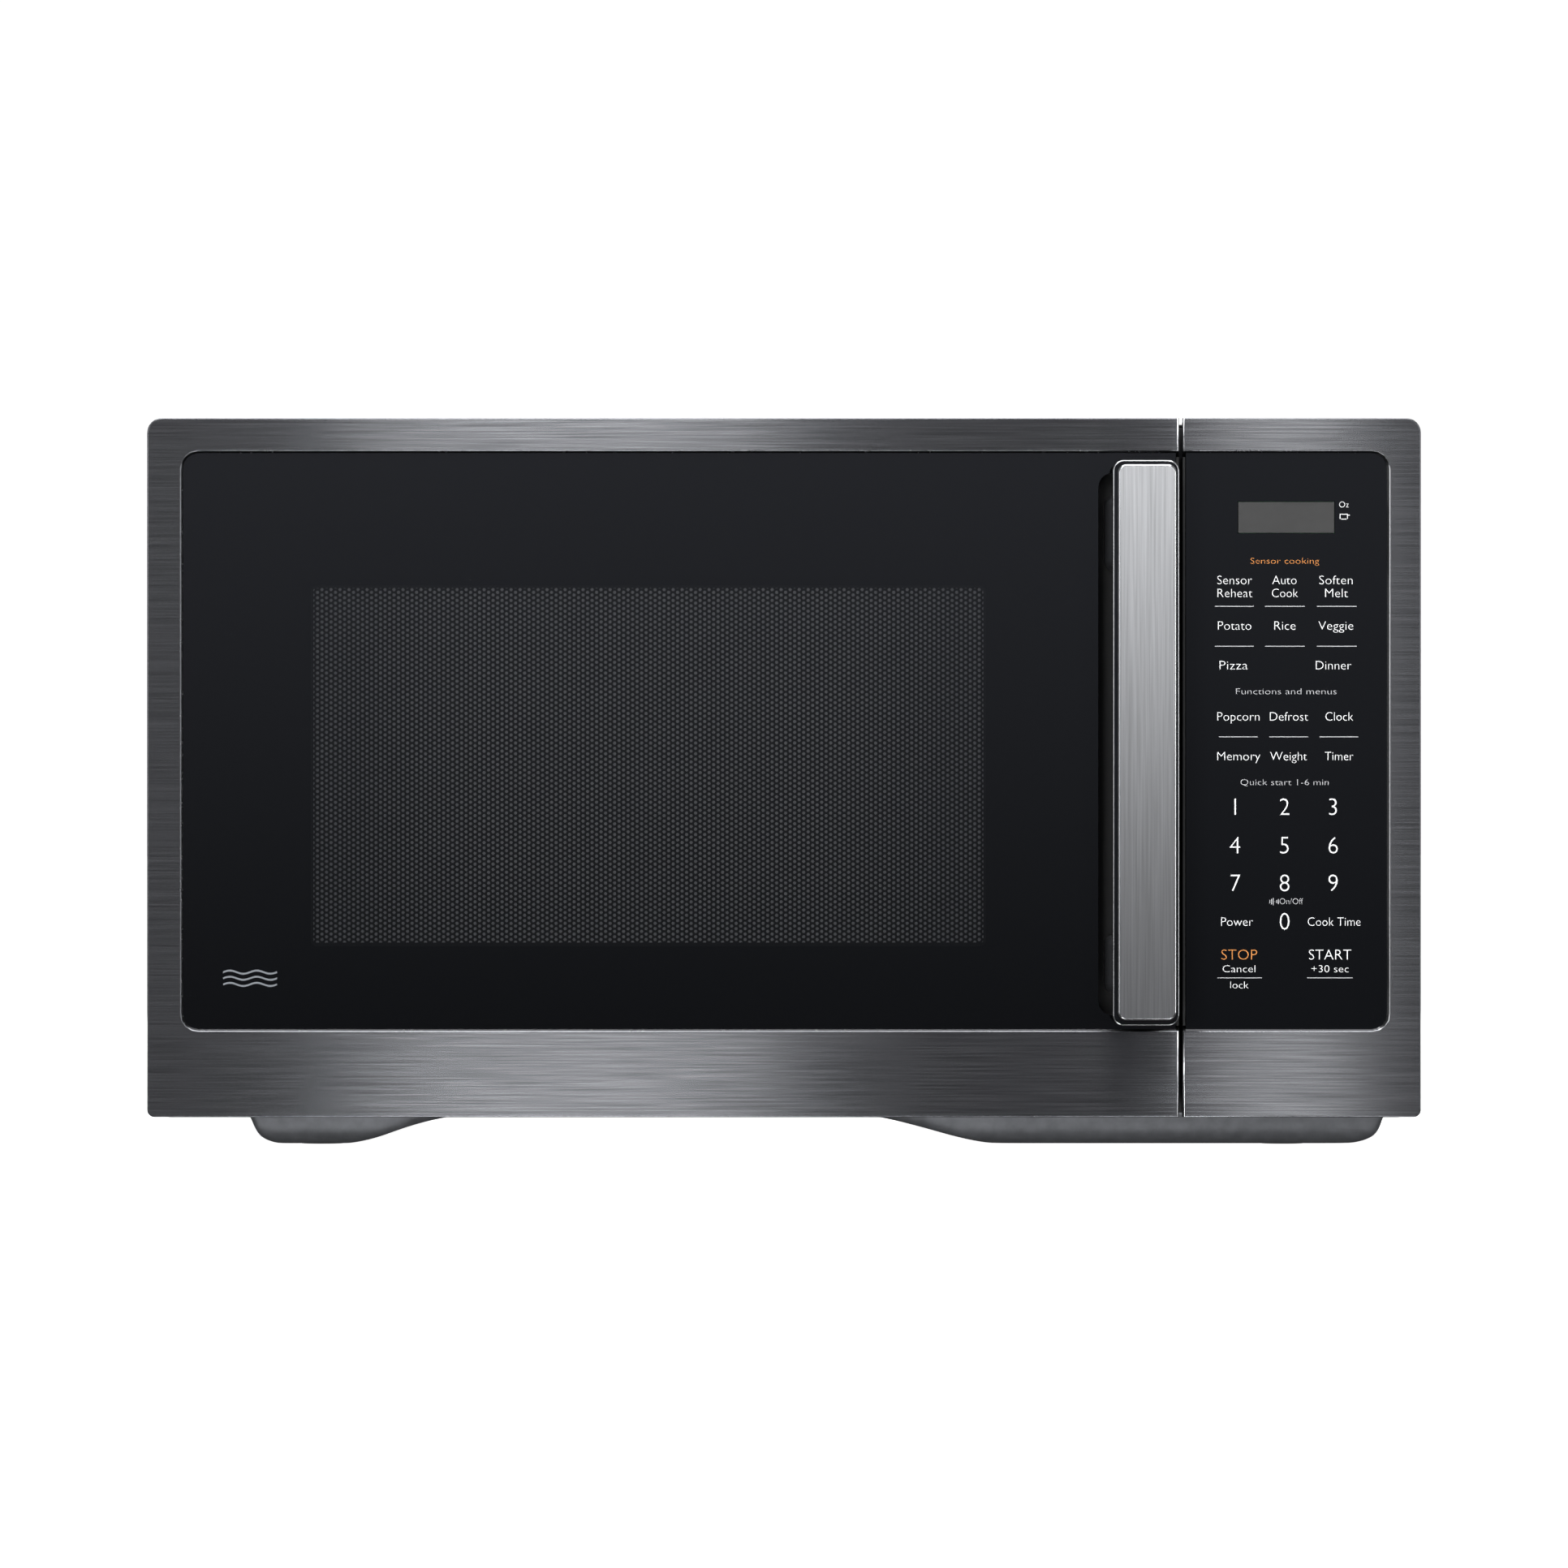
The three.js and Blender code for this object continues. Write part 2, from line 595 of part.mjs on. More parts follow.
/** The plastic body behind the controls, open at the back. */
function controlHousing() {
  const y0 = GLASS_FRONT + 3.6;
  return cut(
    join(
      prism(controlOutline(1 + GAP), "y", y0, PLATE_FRONT - GAP, 3),
      block(PANEL_LEFT, PANEL_LEFT + 1, GLASS_FRONT, PLATE_FRONT - GAP, BAND_BOTTOM + GAP, BAND_TOP - GAP),
      block(PANEL_LEFT, PANEL_LEFT + 2, y0, PLATE_FRONT - GAP, BAND_BOTTOM + GAP, BAND_TOP - GAP),
    ),
    block(PANEL_LEFT + 3.6, HALF - 4, y0 + 2.4, 0, FACE_BOTTOM + 4, HEIGHT - 4),
    prism(panel(DISPLAY.x0 - 2, DISPLAY.x1 + 2, DISPLAY.z0 - 2, DISPLAY.z1 + 2), "y", -REAR, 0),
  );
}

/** The circuit board, with its display, relays, transformer and buzzer. */
function controlBoard() {
  const y = GLASS_FRONT + 14;
  return join(
    block(172, 250, y, y + 1.6, 60, 272),
    block(184, 226, y - 7, y + 0.5, 248, 267),
    ...slots(3, 24, (s) => block(176 + s, 192 + s, y + 1, y + 16, 66, 84)),
    block(180, 214, y + 1, y + 19, 110, 140),
    rod("y", 234, 150, 7, y + 1, y + 8, 20),
  );
}

// ---------------------------------------------------------------- door

/** The front of the door, drawn in from its edges. */
const doorOutline = (inset) =>
  panel(-HALF + inset, DOOR_RIGHT - inset, FACE_BOTTOM + inset, HEIGHT - inset, {
    tl: Math.max(TOP_RADIUS - inset, 1),
    bl: Math.max(BOTTOM_RADIUS - inset, 1),
  });

const doorTrim = () => trim(doorOutline(0), doorOutline(1), BAND_LEFT, DOOR_RIGHT + 9, DOOR_RIGHT);

/** The pocket behind the handle, growing by an inset for its outside. */
const pocket = (grow) => panel(128.3 - grow, 157 + grow, 54.1 - grow, 275.7 + grow, 6 + grow);

const doorGlass = () =>
  cut(
    prism(
      panel(BAND_LEFT - 3, DOOR_RIGHT - 1.3, BAND_BOTTOM - 3, BAND_TOP + 3, { tl: 5, bl: 5 }),
      "y",
      GLASS_FRONT + GAP,
      GLASS_BACK,
    ),
    prism(pocket(0), "y", -REAR, 0),
  );

const STEEL_PAN = { x0: -238, x1: 124, z0: 33, z1: 269 };

/** The moulded door body: rim, front web with the window hole, handle pocket and the two pivot bosses. */
function doorShell() {
  const wall = 2.4;
  const inset = 1 + GAP;
  const plan = panel(-HALF + inset, DOOR_RIGHT + 1, SHELL_FRONT, DOOR_BACK, { tl: 6.2 });
  const edge = [GLASS_FRONT + GAP, DOOR_BACK, BAND_BOTTOM + GAP, BAND_TOP - GAP];
  const boss = (z0, z1) => rod("z", HINGE.x, HINGE.y, 6, z0, z1, 20);
  const body = cut(
    join(
      prism(doorOutline(inset), "y", SHELL_FRONT, DOOR_BACK, 3).intersect(prism(plan, "z", 0, HEIGHT, 3)),
      block(DOOR_RIGHT - 1, DOOR_RIGHT, ...edge),
      block(DOOR_RIGHT - 2, DOOR_RIGHT, SHELL_FRONT, ...edge.slice(1)),
    ),
    prism(doorOutline(inset + wall), "y", SHELL_FRONT + wall, 0),
    prism(panel(-207, 96, 68, 244, 6), "y", -REAR, 0),
  );
  const tub = prism(pocket(1.6), "y", SHELL_FRONT, POCKET_FLOOR + 1.8);
  const notch = rod("z", HINGE.x, HINGE.y, HINGE_NOTCH, 0, HEIGHT, 28);
  const waist = block(-HALF - 20, 0, -REAR, 0, 28.4, HEIGHT - 15.6);
  return cut(
    join(body, tub, boss(262, 282.2), boss(28.5, 49)),
    prism(pocket(0), "y", -REAR, POCKET_FLOOR),
    cut(notch, waist),
    rod("z", HINGE.x, HINGE.y, PIN_RADIUS + RUNNING, 0, HEIGHT, 24),
    ...HANDLE_POSTS.map(({ screwZ }) => rod("y", HANDLE_SCREW_X, screwZ, 2.4, -REAR, 0, 12)),
    block(STEEL_PAN.x0 - 1, STEEL_PAN.x1 + 0.8, SHELL_FRONT + wall, 0, STEEL_PAN.z0 - 1, STEEL_PAN.z1 + 1),
  );
}
const HANDLE_POSTS = [
  { z0: 63.8, z1: 85.9, screwZ: 75 },
  { z0: 236.6, z1: 265.7, screwZ: 251 },
];
const HANDLE_SCREW_X = 147;

/** The steel inner pan of the door; its middle is the perforated screen and its turned-back edge is the choke. */
function doorScreen() {
  const y = SHELL_FRONT + 2.8;
  const { x0, x1, z0, z1 } = STEEL_PAN;
  return cut(
    block(x0, x1, y, CHOKE_BACK - 2.8, z0, z1),
    block(x0 + SHEET, x1 - SHEET, y + SHEET, 0, z0 + SHEET, z1 - SHEET),
  );
}

/** The cover over the door's back, with the window hole and the two latch slots. */
function doorLiner() {
  const plate = prism(panel(-239, 156.6, 18, 292.6, 2), "y", DOOR_BACK + 0.3, CHOKE_BACK);
  return cut(
    plate,
    prism(panel(-222, 111, 50, 253, 5), "y", -REAR, 0),
    ...LATCH_LEVELS.map((z) => prism(panel(144, 154, z - 8, z + 9), "y", -REAR, 0)),
  );
}

const doorInnerWindow = () => prism(panel(-221.6, 110.6, 50.4, 252.6, 4.8), "y", DOOR_BACK + 0.5, DOOR_BACK + 1.7);

/** The grip: a bar on two posts that stand in the pocket. */
function handle() {
  const bar = prism(panel(133.4, DOOR_RIGHT - 0.9, 50.5, 280, 4.3), "y", HANDLE_FRONT + 1.8, HANDLE_FRONT + 16, 3);
  const posts = HANDLE_POSTS.map(({ z0, z1 }) =>
    hull(
      "y",
      [panel(136, 156, z0, z1, 4), HANDLE_FRONT + 12],
      [panel(131, 156.4, z0 - 1, z1 + 1, 4), POCKET_FLOOR - GAP],
    ),
  );
  return cut(
    join(bar, ...posts),
    ...HANDLE_POSTS.map(({ screwZ }) => rod("y", HANDLE_SCREW_X, screwZ, 2.3, HANDLE_FRONT + 22, 0, 12)),
  );
}

const handlePlate = () => prism(panel(135.5, 159.1, 52.7, 278.3, 3.3), "y", HANDLE_FRONT, HANDLE_FRONT + 1.5, 3);

/** The bar in the door that carries both latch hooks. It is lifted against its spring. */
function latch() {
  const hook = (z) =>
    join(
      block(147, 151, DOOR_BACK - 12, PLATE_BACK + 19, z - 4, z + 4),
      hull("x", [panel(PLATE_BACK + 13, PLATE_BACK + 21, z - 7, z + 2), 147], [panel(PLATE_BACK + 13, PLATE_BACK + 21, z - 7, z + 2), 151]),
    );
  return join(
    block(145, 153, DOOR_BACK - 14, DOOR_BACK - 8, LATCH_LEVELS[0] - 8, LATCH_LEVELS[1] + 8),
    ...LATCH_LEVELS.map(hook),
  );
}

/** The coil spring that pulls the latch bar down. */
function latchSpring() {
  const turns = 6;
  const length = 14;
  class Helix extends THREE.Curve {
    getPoint(t, target = new THREE.Vector3()) {
      const angle = t * turns * 2 * Math.PI;
      return target.set(2.4 * Math.cos(angle), 2.4 * Math.sin(angle), t * length);
    }
  }
  const wire = new THREE.Shape(Array.from({ length: 6 }, (_, k) =>
    new THREE.Vector2(0.45 * Math.cos((k * Math.PI) / 3), 0.45 * Math.sin((k * Math.PI) / 3))));
  return solidOf(new THREE.ExtrudeGeometry(wire, { steps: 60, extrudePath: new Helix(), bevelEnabled: false }));
}

/** A hinge bracket on the front plate, with its pin: up is 1 for the lower one, whose pin points up. */
function hingeBracket(level, up) {
  const arm = join(
    rod("z", HINGE.x, HINGE.y, 6, level, level + 2, 20),
    block(HINGE.x - 4.5, HINGE.x + 4.5, HINGE.y, PLATE_FRONT - GAP, level, level + 2),
    block(HINGE.x - 4.5, HINGE.x + 11, PLATE_FRONT - GAP - 1.2, PLATE_FRONT - GAP, ...(up > 0 ? [level - 4, level + 2] : [level, level + 6])),
  );
  const pin = up > 0 ? [level + 1, level + 20] : [level - 19, level + 1];
  return join(arm, rod("z", HINGE.x, HINGE.y, PIN_RADIUS, ...pin, 24));
}

/** The mains filter: its board, choke and capacitor. */
const filterBoard = () =>
  join(
    block(140, 250, 66, 149.5, 266, 267.6),
    rod("z", 170, 100, 12, 267, 284, 20),
    block(196, 222, 90, 112, 267, 283),
  );

/** The lamp's holder and its bulb, which looks into the cavity. */
const ovenLamp = () => join(rod("x", 139, 246, 10, 124, 152, 20), rod("x", 139, 246, 7, 120.6, 126, 16));

const displayLens = () =>
  block(DISPLAY.x0, DISPLAY.x1, GLASS_FRONT + GAP, GLASS_FRONT + 2, DISPLAY.z0, DISPLAY.z1);

/** The film of touch fields behind the control glass, open round the display. */
const touchFilm = () =>
  cut(
    block(168, 243, GLASS_FRONT + 2.7, GLASS_FRONT + 3.3, 54, 278),
    block(DISPLAY.x0 - 2, DISPLAY.x1 + 2, -REAR, 0, DISPLAY.z0 - 2, DISPLAY.z1 + 2),
  );

// ---------------------------------------------------------------- the oven

const oven = new THREE.Group();
const door = new THREE.Group();
const turntable = new THREE.Group();
const cooling = new THREE.Group();
turntable.position.set(TABLE.x, TABLE.y, 0);
oven.add(door, turntable, cooling);

piece(oven, "outer_case", outerCase(), CASE_PAINT);
piece(oven, "base_plate", basePlate(), ZINC);
piece(oven, "rear_cover", rearCover(), ZINC);
piece(oven, "mains_bush", mainsBush(), BLACK_MATT);
piece(oven, "front_plate", frontPlate(), CASE_PAINT);
piece(oven, "cavity_wrap", cavityWrap(), CAVITY_PAINT);
piece(oven, "cavity_floor", cavityFloor(), CAVITY_PAINT);
piece(oven, "cavity_rear_wall", cavityRearWall(), CAVITY_PAINT);

for (const [side, x] of [["left", -191], ["right", 206]])
  for (const [end, y] of [["front", -114], ["rear", 165]])
    piece(oven, `foot_pad_${end}_${side}`, rod("z", 0, 0, 9, 0, PAD_HEIGHT, 20), RUBBER, [x, y, 0]);

CASE_SCREWS.forEach(([x, z], k) =>
  piece(oven, `case_screw_${k + 1}`, screw(3.6, 1.9, 1.5, 5, -1), ZINC, [x, CASE_BACK + 0.1, z]),
);

piece(oven, "hinge_bracket_upper", hingeBracket(284, -1), ZINC);
piece(oven, "hinge_bracket_lower", hingeBracket(25, 1), ZINC);

piece(oven, "waveguide", waveguide(), ALUMINIUM);
piece(oven, "waveguide_cover", block(117.8, 118.7, -6, 56, 176, 228), MICA);
piece(oven, "magnetron", magnetron(), ALUMINIUM);
piece(oven, "transformer_core", transformerCore(), ZINC);
piece(oven, "transformer_coils", transformerCoils(), COPPER_RED);
piece(oven, "capacitor", capacitor(), ALUMINIUM, [150, 70, 0]);
piece(oven, "filter_board", filterBoard(), BOARD_GREEN);
piece(oven, "oven_lamp", ovenLamp(), WHITE_PLASTIC);

piece(cooling, "fan_baffle", fanBaffle(), WHITE_PLASTIC);
piece(cooling, "fan_motor", fanMotor(), ZINC);
piece(cooling, "fan_wheel", fanWheel(), BLACK_MATT, [FAN.x, FAN.y, FAN.z]);

piece(oven, "interlock_bracket", interlockBracket(), WHITE_PLASTIC);
for (const [name, z] of [["primary_switch", 190], ["secondary_switch", 216], ["monitor_switch", 74]])
  piece(oven, name, microSwitch(), BLACK_MATT, [165, PLATE_BACK + 20, z]);
piece(oven, "switch_lever", switchLever(), WHITE_PLASTIC, [0, LEVER.y, LEVER.z]);

piece(oven, "control_trim", controlTrim(), BLACK_STAINLESS);
piece(oven, "control_glass", controlGlass(), BLACK_GLASS);
piece(oven, "display_lens", displayLens(), GREY_LENS);
piece(oven, "touch_film", touchFilm(), BLACK_MATT);
piece(oven, "control_housing", controlHousing(), BLACK_MATT);
piece(oven, "control_board", controlBoard(), BOARD_GREEN);

piece(turntable, "glass_tray", tray(), CLEAR_GLASS);
piece(turntable, "drive_hub", driveHub(), WHITE_PLASTIC);
piece(turntable, "turntable_motor", tableMotor(), ZINC);
piece(turntable, "roller_ring", rollerRing(), WHITE_PLASTIC);
for (const k of [0, 1, 2]) {
  const arm = new THREE.Group();
  arm.rotation.z = (k * 2 * Math.PI) / 3 + Math.PI / 2;
  turntable.add(arm);
  piece(arm, `roller_${k + 1}`, roller(), WHITE_PLASTIC, [RING.roller, 0, WELL.floor + GAP + RING.wheel]);
}

piece(door, "door_trim", doorTrim(), BLACK_STAINLESS);
piece(door, "door_glass", doorGlass(), BLACK_GLASS);
piece(door, "door_shell", doorShell(), BLACK_GLOSS);
piece(door, "door_screen", doorScreen(), BLACK_MATT);
piece(door, "door_liner", doorLiner(), BLACK_MATT);
piece(door, "door_inner_window", doorInnerWindow(), CLEAR_GLASS);
piece(door, "handle", handle(), BLACK_GLOSS);
piece(door, "handle_plate", handlePlate(), STAINLESS);
HANDLE_POSTS.forEach(({ screwZ }, k) =>
  piece(door, `handle_screw_${k + 1}`, screw(3.8, 2, 1.8, 14, -1), ZINC, [HANDLE_SCREW_X, POCKET_FLOOR + 1.8 + GAP, screwZ]),
);
piece(door, "latch", latch(), WHITE_PLASTIC);
piece(door, "latch_spring", latchSpring(), ZINC, [149, DOOR_BACK - 11, LATCH_LEVELS[0] - 23]);

export default oven;
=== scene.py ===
"""A countertop microwave oven: brushed dark steel round a black glass door and touch controls."""

import math

import bmesh
import bpy
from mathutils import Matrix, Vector


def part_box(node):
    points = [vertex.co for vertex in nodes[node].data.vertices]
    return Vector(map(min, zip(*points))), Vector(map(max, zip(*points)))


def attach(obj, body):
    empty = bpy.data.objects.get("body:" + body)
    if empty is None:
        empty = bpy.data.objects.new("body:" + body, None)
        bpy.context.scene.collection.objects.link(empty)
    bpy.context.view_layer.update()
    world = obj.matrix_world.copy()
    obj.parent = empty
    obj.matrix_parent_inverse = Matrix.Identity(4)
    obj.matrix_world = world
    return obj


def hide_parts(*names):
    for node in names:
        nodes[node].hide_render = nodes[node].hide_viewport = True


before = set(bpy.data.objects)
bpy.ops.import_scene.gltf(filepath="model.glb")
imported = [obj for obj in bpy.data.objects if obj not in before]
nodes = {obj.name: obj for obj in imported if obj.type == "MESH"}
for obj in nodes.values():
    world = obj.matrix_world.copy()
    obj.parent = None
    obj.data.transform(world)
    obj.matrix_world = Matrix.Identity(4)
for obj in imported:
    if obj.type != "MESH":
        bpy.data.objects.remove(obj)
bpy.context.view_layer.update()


# ---------------------------------------------------------------- measures, in metres

MM = 0.001
LEAST, MOST = 0, 1


def side(node, end, axis):
    """One coordinate of a CAD node's box."""
    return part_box(node)[end]["xyz".index(axis)]


FACE = side("door_trim", LEAST, "y")
GLASS = side("door_glass", LEAST, "y")
GLASS_BACK = side("door_glass", MOST, "y")
DOOR_LEFT = side("door_trim", LEAST, "x")
DOOR_RIGHT = side("door_trim", MOST, "x")
PANEL_LEFT = side("control_trim", LEAST, "x")
PANEL_RIGHT = side("control_trim", MOST, "x")
BAND_LOW = side("door_glass", LEAST, "z")
BAND_HIGH = side("door_glass", MOST, "z")
SCREEN_FRONT = side("door_screen", LEAST, "y")
TABLE_X = (side("glass_tray", LEAST, "x") + side("glass_tray", MOST, "x")) / 2
TABLE_Y = (side("glass_tray", LEAST, "y") + side("glass_tray", MOST, "y")) / 2

# The half height of the brushed front, where the camera and the lights aim.
FRONT_MIDDLE = 149 * MM

# The clear part of the door glass.
WINDOW_LEFT, WINDOW_RIGHT = -193.4 * MM, 82.5 * MM
WINDOW_LOW, WINDOW_HIGH = 82.3 * MM, 229.7 * MM


# ---------------------------------------------------------------- selecting and shaping


def only(obj):
    """Selects one object alone."""
    bpy.ops.object.select_all(action="DESELECT")
    obj.select_set(True)
    bpy.context.view_layer.objects.active = obj


def edit(obj):
    """Opens an object for modelling, with nothing on it selected."""
    only(obj)
    bpy.ops.object.mode_set(mode="EDIT")
    bpy.ops.mesh.select_all(action="DESELECT")


def done():
    bpy.ops.object.mode_set(mode="OBJECT")


def pick(obj, kind, test):
    """In edit mode, selects the verts, edges or faces whose middle passes the test, and drops the rest."""
    bpy.ops.mesh.select_mode(type={"verts": "VERT", "edges": "EDGE", "faces": "FACE"}[kind])
    bpy.ops.mesh.select_all(action="DESELECT")
    mesh = bmesh.from_edit_mesh(obj.data)
    for part in getattr(mesh, kind):
        if kind == "verts":
            middle = part.co
        elif kind == "edges":
            middle = (part.verts[0].co + part.verts[1].co) / 2
        else:
            middle = part.calc_center_median()
        if test(middle, part):
            part.select_set(True)
    mesh.select_flush_mode()
    bmesh.update_edit_mesh(obj.data)


def settle(obj, name):
    """Names an object and moves its place, turn and size into its mesh."""
    only(obj)
    bpy.ops.object.transform_apply(location=True, rotation=True, scale=True)
    obj.name = obj.data.name = name
    return obj


def apply(obj, kind, **settings):
    """Adds a modifier with its settings and applies it."""
    only(obj)
    bpy.ops.object.modifier_add(type=kind)
    modifier = obj.modifiers[-1]
    for key, value in settings.items():
        setattr(modifier, key, value)
    bpy.ops.object.modifier_apply(modifier=modifier.name)


def smooth(obj, degrees=35):
    """Smooth shading up to an angle, with the large flat faces kept flat."""
    only(obj)
    bpy.ops.object.shade_smooth_by_angle(angle=math.radians(degrees))
    apply(obj, "WEIGHTED_NORMAL", keep_sharp=True)


def soften(obj, width, segments=2, degrees=35, material=-1):
    """Rounds every edge sharper than the angle."""
    apply(
        obj,
        "BEVEL",
        width=width,
        segments=segments,
        limit_method="ANGLE",
        angle_limit=math.radians(degrees),
        material=material,
    )
    smooth(obj, degrees)


def cut_away(obj, cutter):
    """Cuts one piece with another, which is used up."""
    apply(obj, "BOOLEAN", operation="DIFFERENCE", object=cutter, solver="EXACT")
    bpy.data.objects.remove(cutter)


def copy_of(node, name):
    """A copy of a CAD node with its triangles joined into whole faces."""
    obj = bpy.data.objects.new(name, nodes[node].data.copy())
    obj.data.name = name
    obj.data.materials.clear()
    bpy.context.scene.collection.objects.link(obj)
    edit(obj)
    bpy.ops.mesh.select_all(action="SELECT")
    bpy.ops.mesh.remove_doubles(threshold=0.005 * MM)
    bpy.ops.mesh.dissolve_limited(angle_limit=math.radians(0.6))
    done()
    return obj


def box(name, x, y, z, corner=0, along="Y", segments=4):
    """A block between pairs of coordinates, with the corners along one axis rounded."""
    centre = [(a + b) / 2 for a, b in (x, y, z)]
    size = [b - a for a, b in (x, y, z)]
    bpy.ops.object.select_all(action="DESELECT")
    bpy.ops.mesh.primitive_cube_add(size=1, location=centre, scale=size)
    obj = settle(bpy.context.object, name)
    if corner:
        way = Vector([float(axis == along) for axis in "XYZ"])
        edit(obj)
        pick(obj, "edges", lambda _, e: abs((e.verts[1].co - e.verts[0].co).normalized().dot(way)) > 0.9)
        bpy.ops.mesh.bevel(offset=corner, segments=segments, affect="EDGES")
        done()
    return obj


def turned(name, profile, sides, centre=(0, 0)):
    """A round piece about an upright axis: [radius, height] rings, each extruded from the one before."""
    radius, height = profile[0]
    bpy.ops.object.select_all(action="DESELECT")
    bpy.ops.mesh.primitive_circle_add(
        vertices=sides, radius=radius, fill_type="NGON", location=(*centre, height)
    )
    obj = settle(bpy.context.object, name)
    edit(obj)
    bpy.ops.mesh.select_all(action="SELECT")
    for next_radius, next_height in profile[1:]:
        bpy.ops.mesh.extrude_region_move(
            TRANSFORM_OT_translate={"value": (0, 0, next_height - height)}
        )
        grow = next_radius / radius
        bpy.ops.transform.resize(value=(grow, grow, 1), center_override=(*centre, next_height))
        radius, height = next_radius, next_height
    bpy.ops.mesh.select_all(action="SELECT")
    bpy.ops.mesh.normals_make_consistent(inside=False)
    done()
    return obj


def joined(name, pieces):
    """Several pieces made one object."""
    bpy.ops.object.select_all(action="DESELECT")
    for obj in pieces:
        obj.select_set(True)
    bpy.context.view_layer.objects.active = pieces[0]
    bpy.ops.object.join()
    return settle(bpy.context.object, name)


# ---------------------------------------------------------------- finishes


def linear(hex_colour):
    """An sRGB hex colour as the linear values that the shaders take."""
    parts = [int(hex_colour[i : i + 2], 16) / 255 for i in (1, 3, 5)]
    return (*(p / 12.92 if p <= 0.04045 else ((p + 0.055) / 1.055) ** 2.4 for p in parts), 1)


def add(tree, kind, inputs=None, **settings):
    """Adds a node: its settings, then its inputs, each a value or the socket that feeds it."""
    node = tree.nodes.new(kind)
    for key, value in settings.items():
        setattr(node, key, value)
    for key, value in (inputs or {}).items():
        if isinstance(value, bpy.types.NodeSocket):
            tree.links.new(value, node.inputs[key])
        else:
            node.inputs[key].default_value = value
    return node


def material(name, colour, **values):
    """A material with one main shader, its uniform values set on the shader itself."""
    made = bpy.data.materials.new(name)
    made.use_nodes = True
    shader = made.node_tree.nodes["Principled BSDF"]
    shader.inputs["Base Color"].default_value = linear(colour)
    for key, value in values.items():
        shader.inputs[key.replace("_", " ").title().replace("Ior", "IOR")].default_value = value
    return made, made.node_tree, shader


def grain(tree, spacing, detail=3, stretch=(1, 1, 1)):
    """Noise over the piece with a grain of that real size, drawn out by the stretch."""
    place = add(tree, "ShaderNodeTexCoord").outputs["Object"]
    scaled = add(
        tree,
        "ShaderNodeMapping",
        {"Vector": place, "Scale": [1 / (spacing * s) for s in stretch]},
    )
    noise = add(tree, "ShaderNodeTexNoise", {"Vector": scaled.outputs[0], "Scale": 1, "Detail": detail})
    return noise.outputs["Fac"]


def spread(tree, noise, low, high):
    """Noise turned into a value from low to high."""
    return add(
        tree,
        "ShaderNodeMapRange",
        {"Value": noise, "From Min": 0.3, "From Max": 0.7, "To Min": low, "To Max": high},
    ).outputs[0]


def tinted(tree, noise, dark, light):
    """Noise turned into a colour between two sRGB hex values."""
    ramp = add(tree, "ShaderNodeValToRGB", {"Fac": noise})
    ramp.color_ramp.elements[0].position, ramp.color_ramp.elements[1].position = 0.3, 0.7
    ramp.color_ramp.elements[0].color, ramp.color_ramp.elements[1].color = linear(dark), linear(light)
    return ramp.outputs["Color"]


def rough(tree, shader, height, distance):
    """Bump of a real depth, from noise."""
    bump = add(tree, "ShaderNodeBump", {"Height": height, "Distance": distance, "Strength": 1})
    tree.links.new(bump.outputs["Normal"], shader.inputs["Normal"])


def brushed_steel(name, dark, light, roughness, way, glow_axis):
    """
    Ferritic stainless sheet, belt-brushed one way. The eye gets fine streaks along the brushing, and
    reflections drawn out across it. The scratches are about 0.1 mm apart; here they are 0.6 mm apart so
    that they show.
    """
    made, tree, shader = material(name, light, metallic=1, roughness=roughness, anisotropic=1.0)
    stretch = [80 if axis == way else 1 for axis in "XYZ"]
    streaks = grain(tree, 0.6 * MM, 4, stretch)
    tree.links.new(tinted(tree, streaks, dark, light), shader.inputs["Base Color"])
    tree.links.new(spread(tree, streaks, roughness * 1.02, roughness * 0.98), shader.inputs["Roughness"])
    tangent = add(tree, "ShaderNodeTangent", direction_type="RADIAL", axis=glow_axis)
    tree.links.new(tangent.outputs[0], shader.inputs["Tangent"])
    return made


def polished_edge_and_highlight():
    """The same steel where its edge was cut with a diamond: a bright, nearly clean mirror. On the trim's gap
    and left-facing lips, and on the handle bar's rim, it is a painted highlight of the light that these edges
    mirror.
    """
    made, tree, shader = material("diamond-cut stainless edge, painted highlight", "#d8d9dc", metallic=1, roughness=0.16)
    tree.links.new(spread(tree, grain(tree, 1.5 * MM), 0.13, 0.2), shader.inputs["Roughness"])
    return made


def rolled_edge_and_shade():
    """The trim's dark sheet where it rolls over: a duller line than the cut edges. On the lip chamfers that
    don't face left it is a painted shade.
    """
    made, tree, shader = material("rolled stainless edge, painted shade", "#8b8c90", metallic=1, roughness=0.24)
    tree.links.new(spread(tree, grain(tree, 1.5 * MM), 0.21, 0.28), shader.inputs["Roughness"])
    return made


def screen_back():
    """The cavity side of the screen: black enamel, dotted with the paler film in its holes, 2.2 mm apart."""
    made, tree, shader = material("black enamelled screen, cavity side", "#141517", roughness=0.4)
    place = add(tree, "ShaderNodeTexCoord").outputs["Object"]
    turned = add(
        tree,
        "ShaderNodeMapping",
        {"Vector": place, "Rotation": (0, math.radians(45), 0), "Scale": [1 / (1.8 * MM)] * 3},
    )
    flat = add(tree, "ShaderNodeVectorMath", {0: turned.outputs[0], 1: (1, 0, 1)}, operation="MULTIPLY")
    cells = add(tree, "ShaderNodeTexVoronoi", {"Vector": flat.outputs[0], "Scale": 1, "Randomness": 0})
    hole = add(
        tree,
        "ShaderNodeMapRange",
        {"Value": cells.outputs["Distance"], "From Min": 0.3, "From Max": 0.36, "To Min": 1, "To Max": 0},
    )
    tree.links.new(tinted(tree, hole.outputs[0], "#141517", "#63666b"), shader.inputs["Base Color"])
    return made


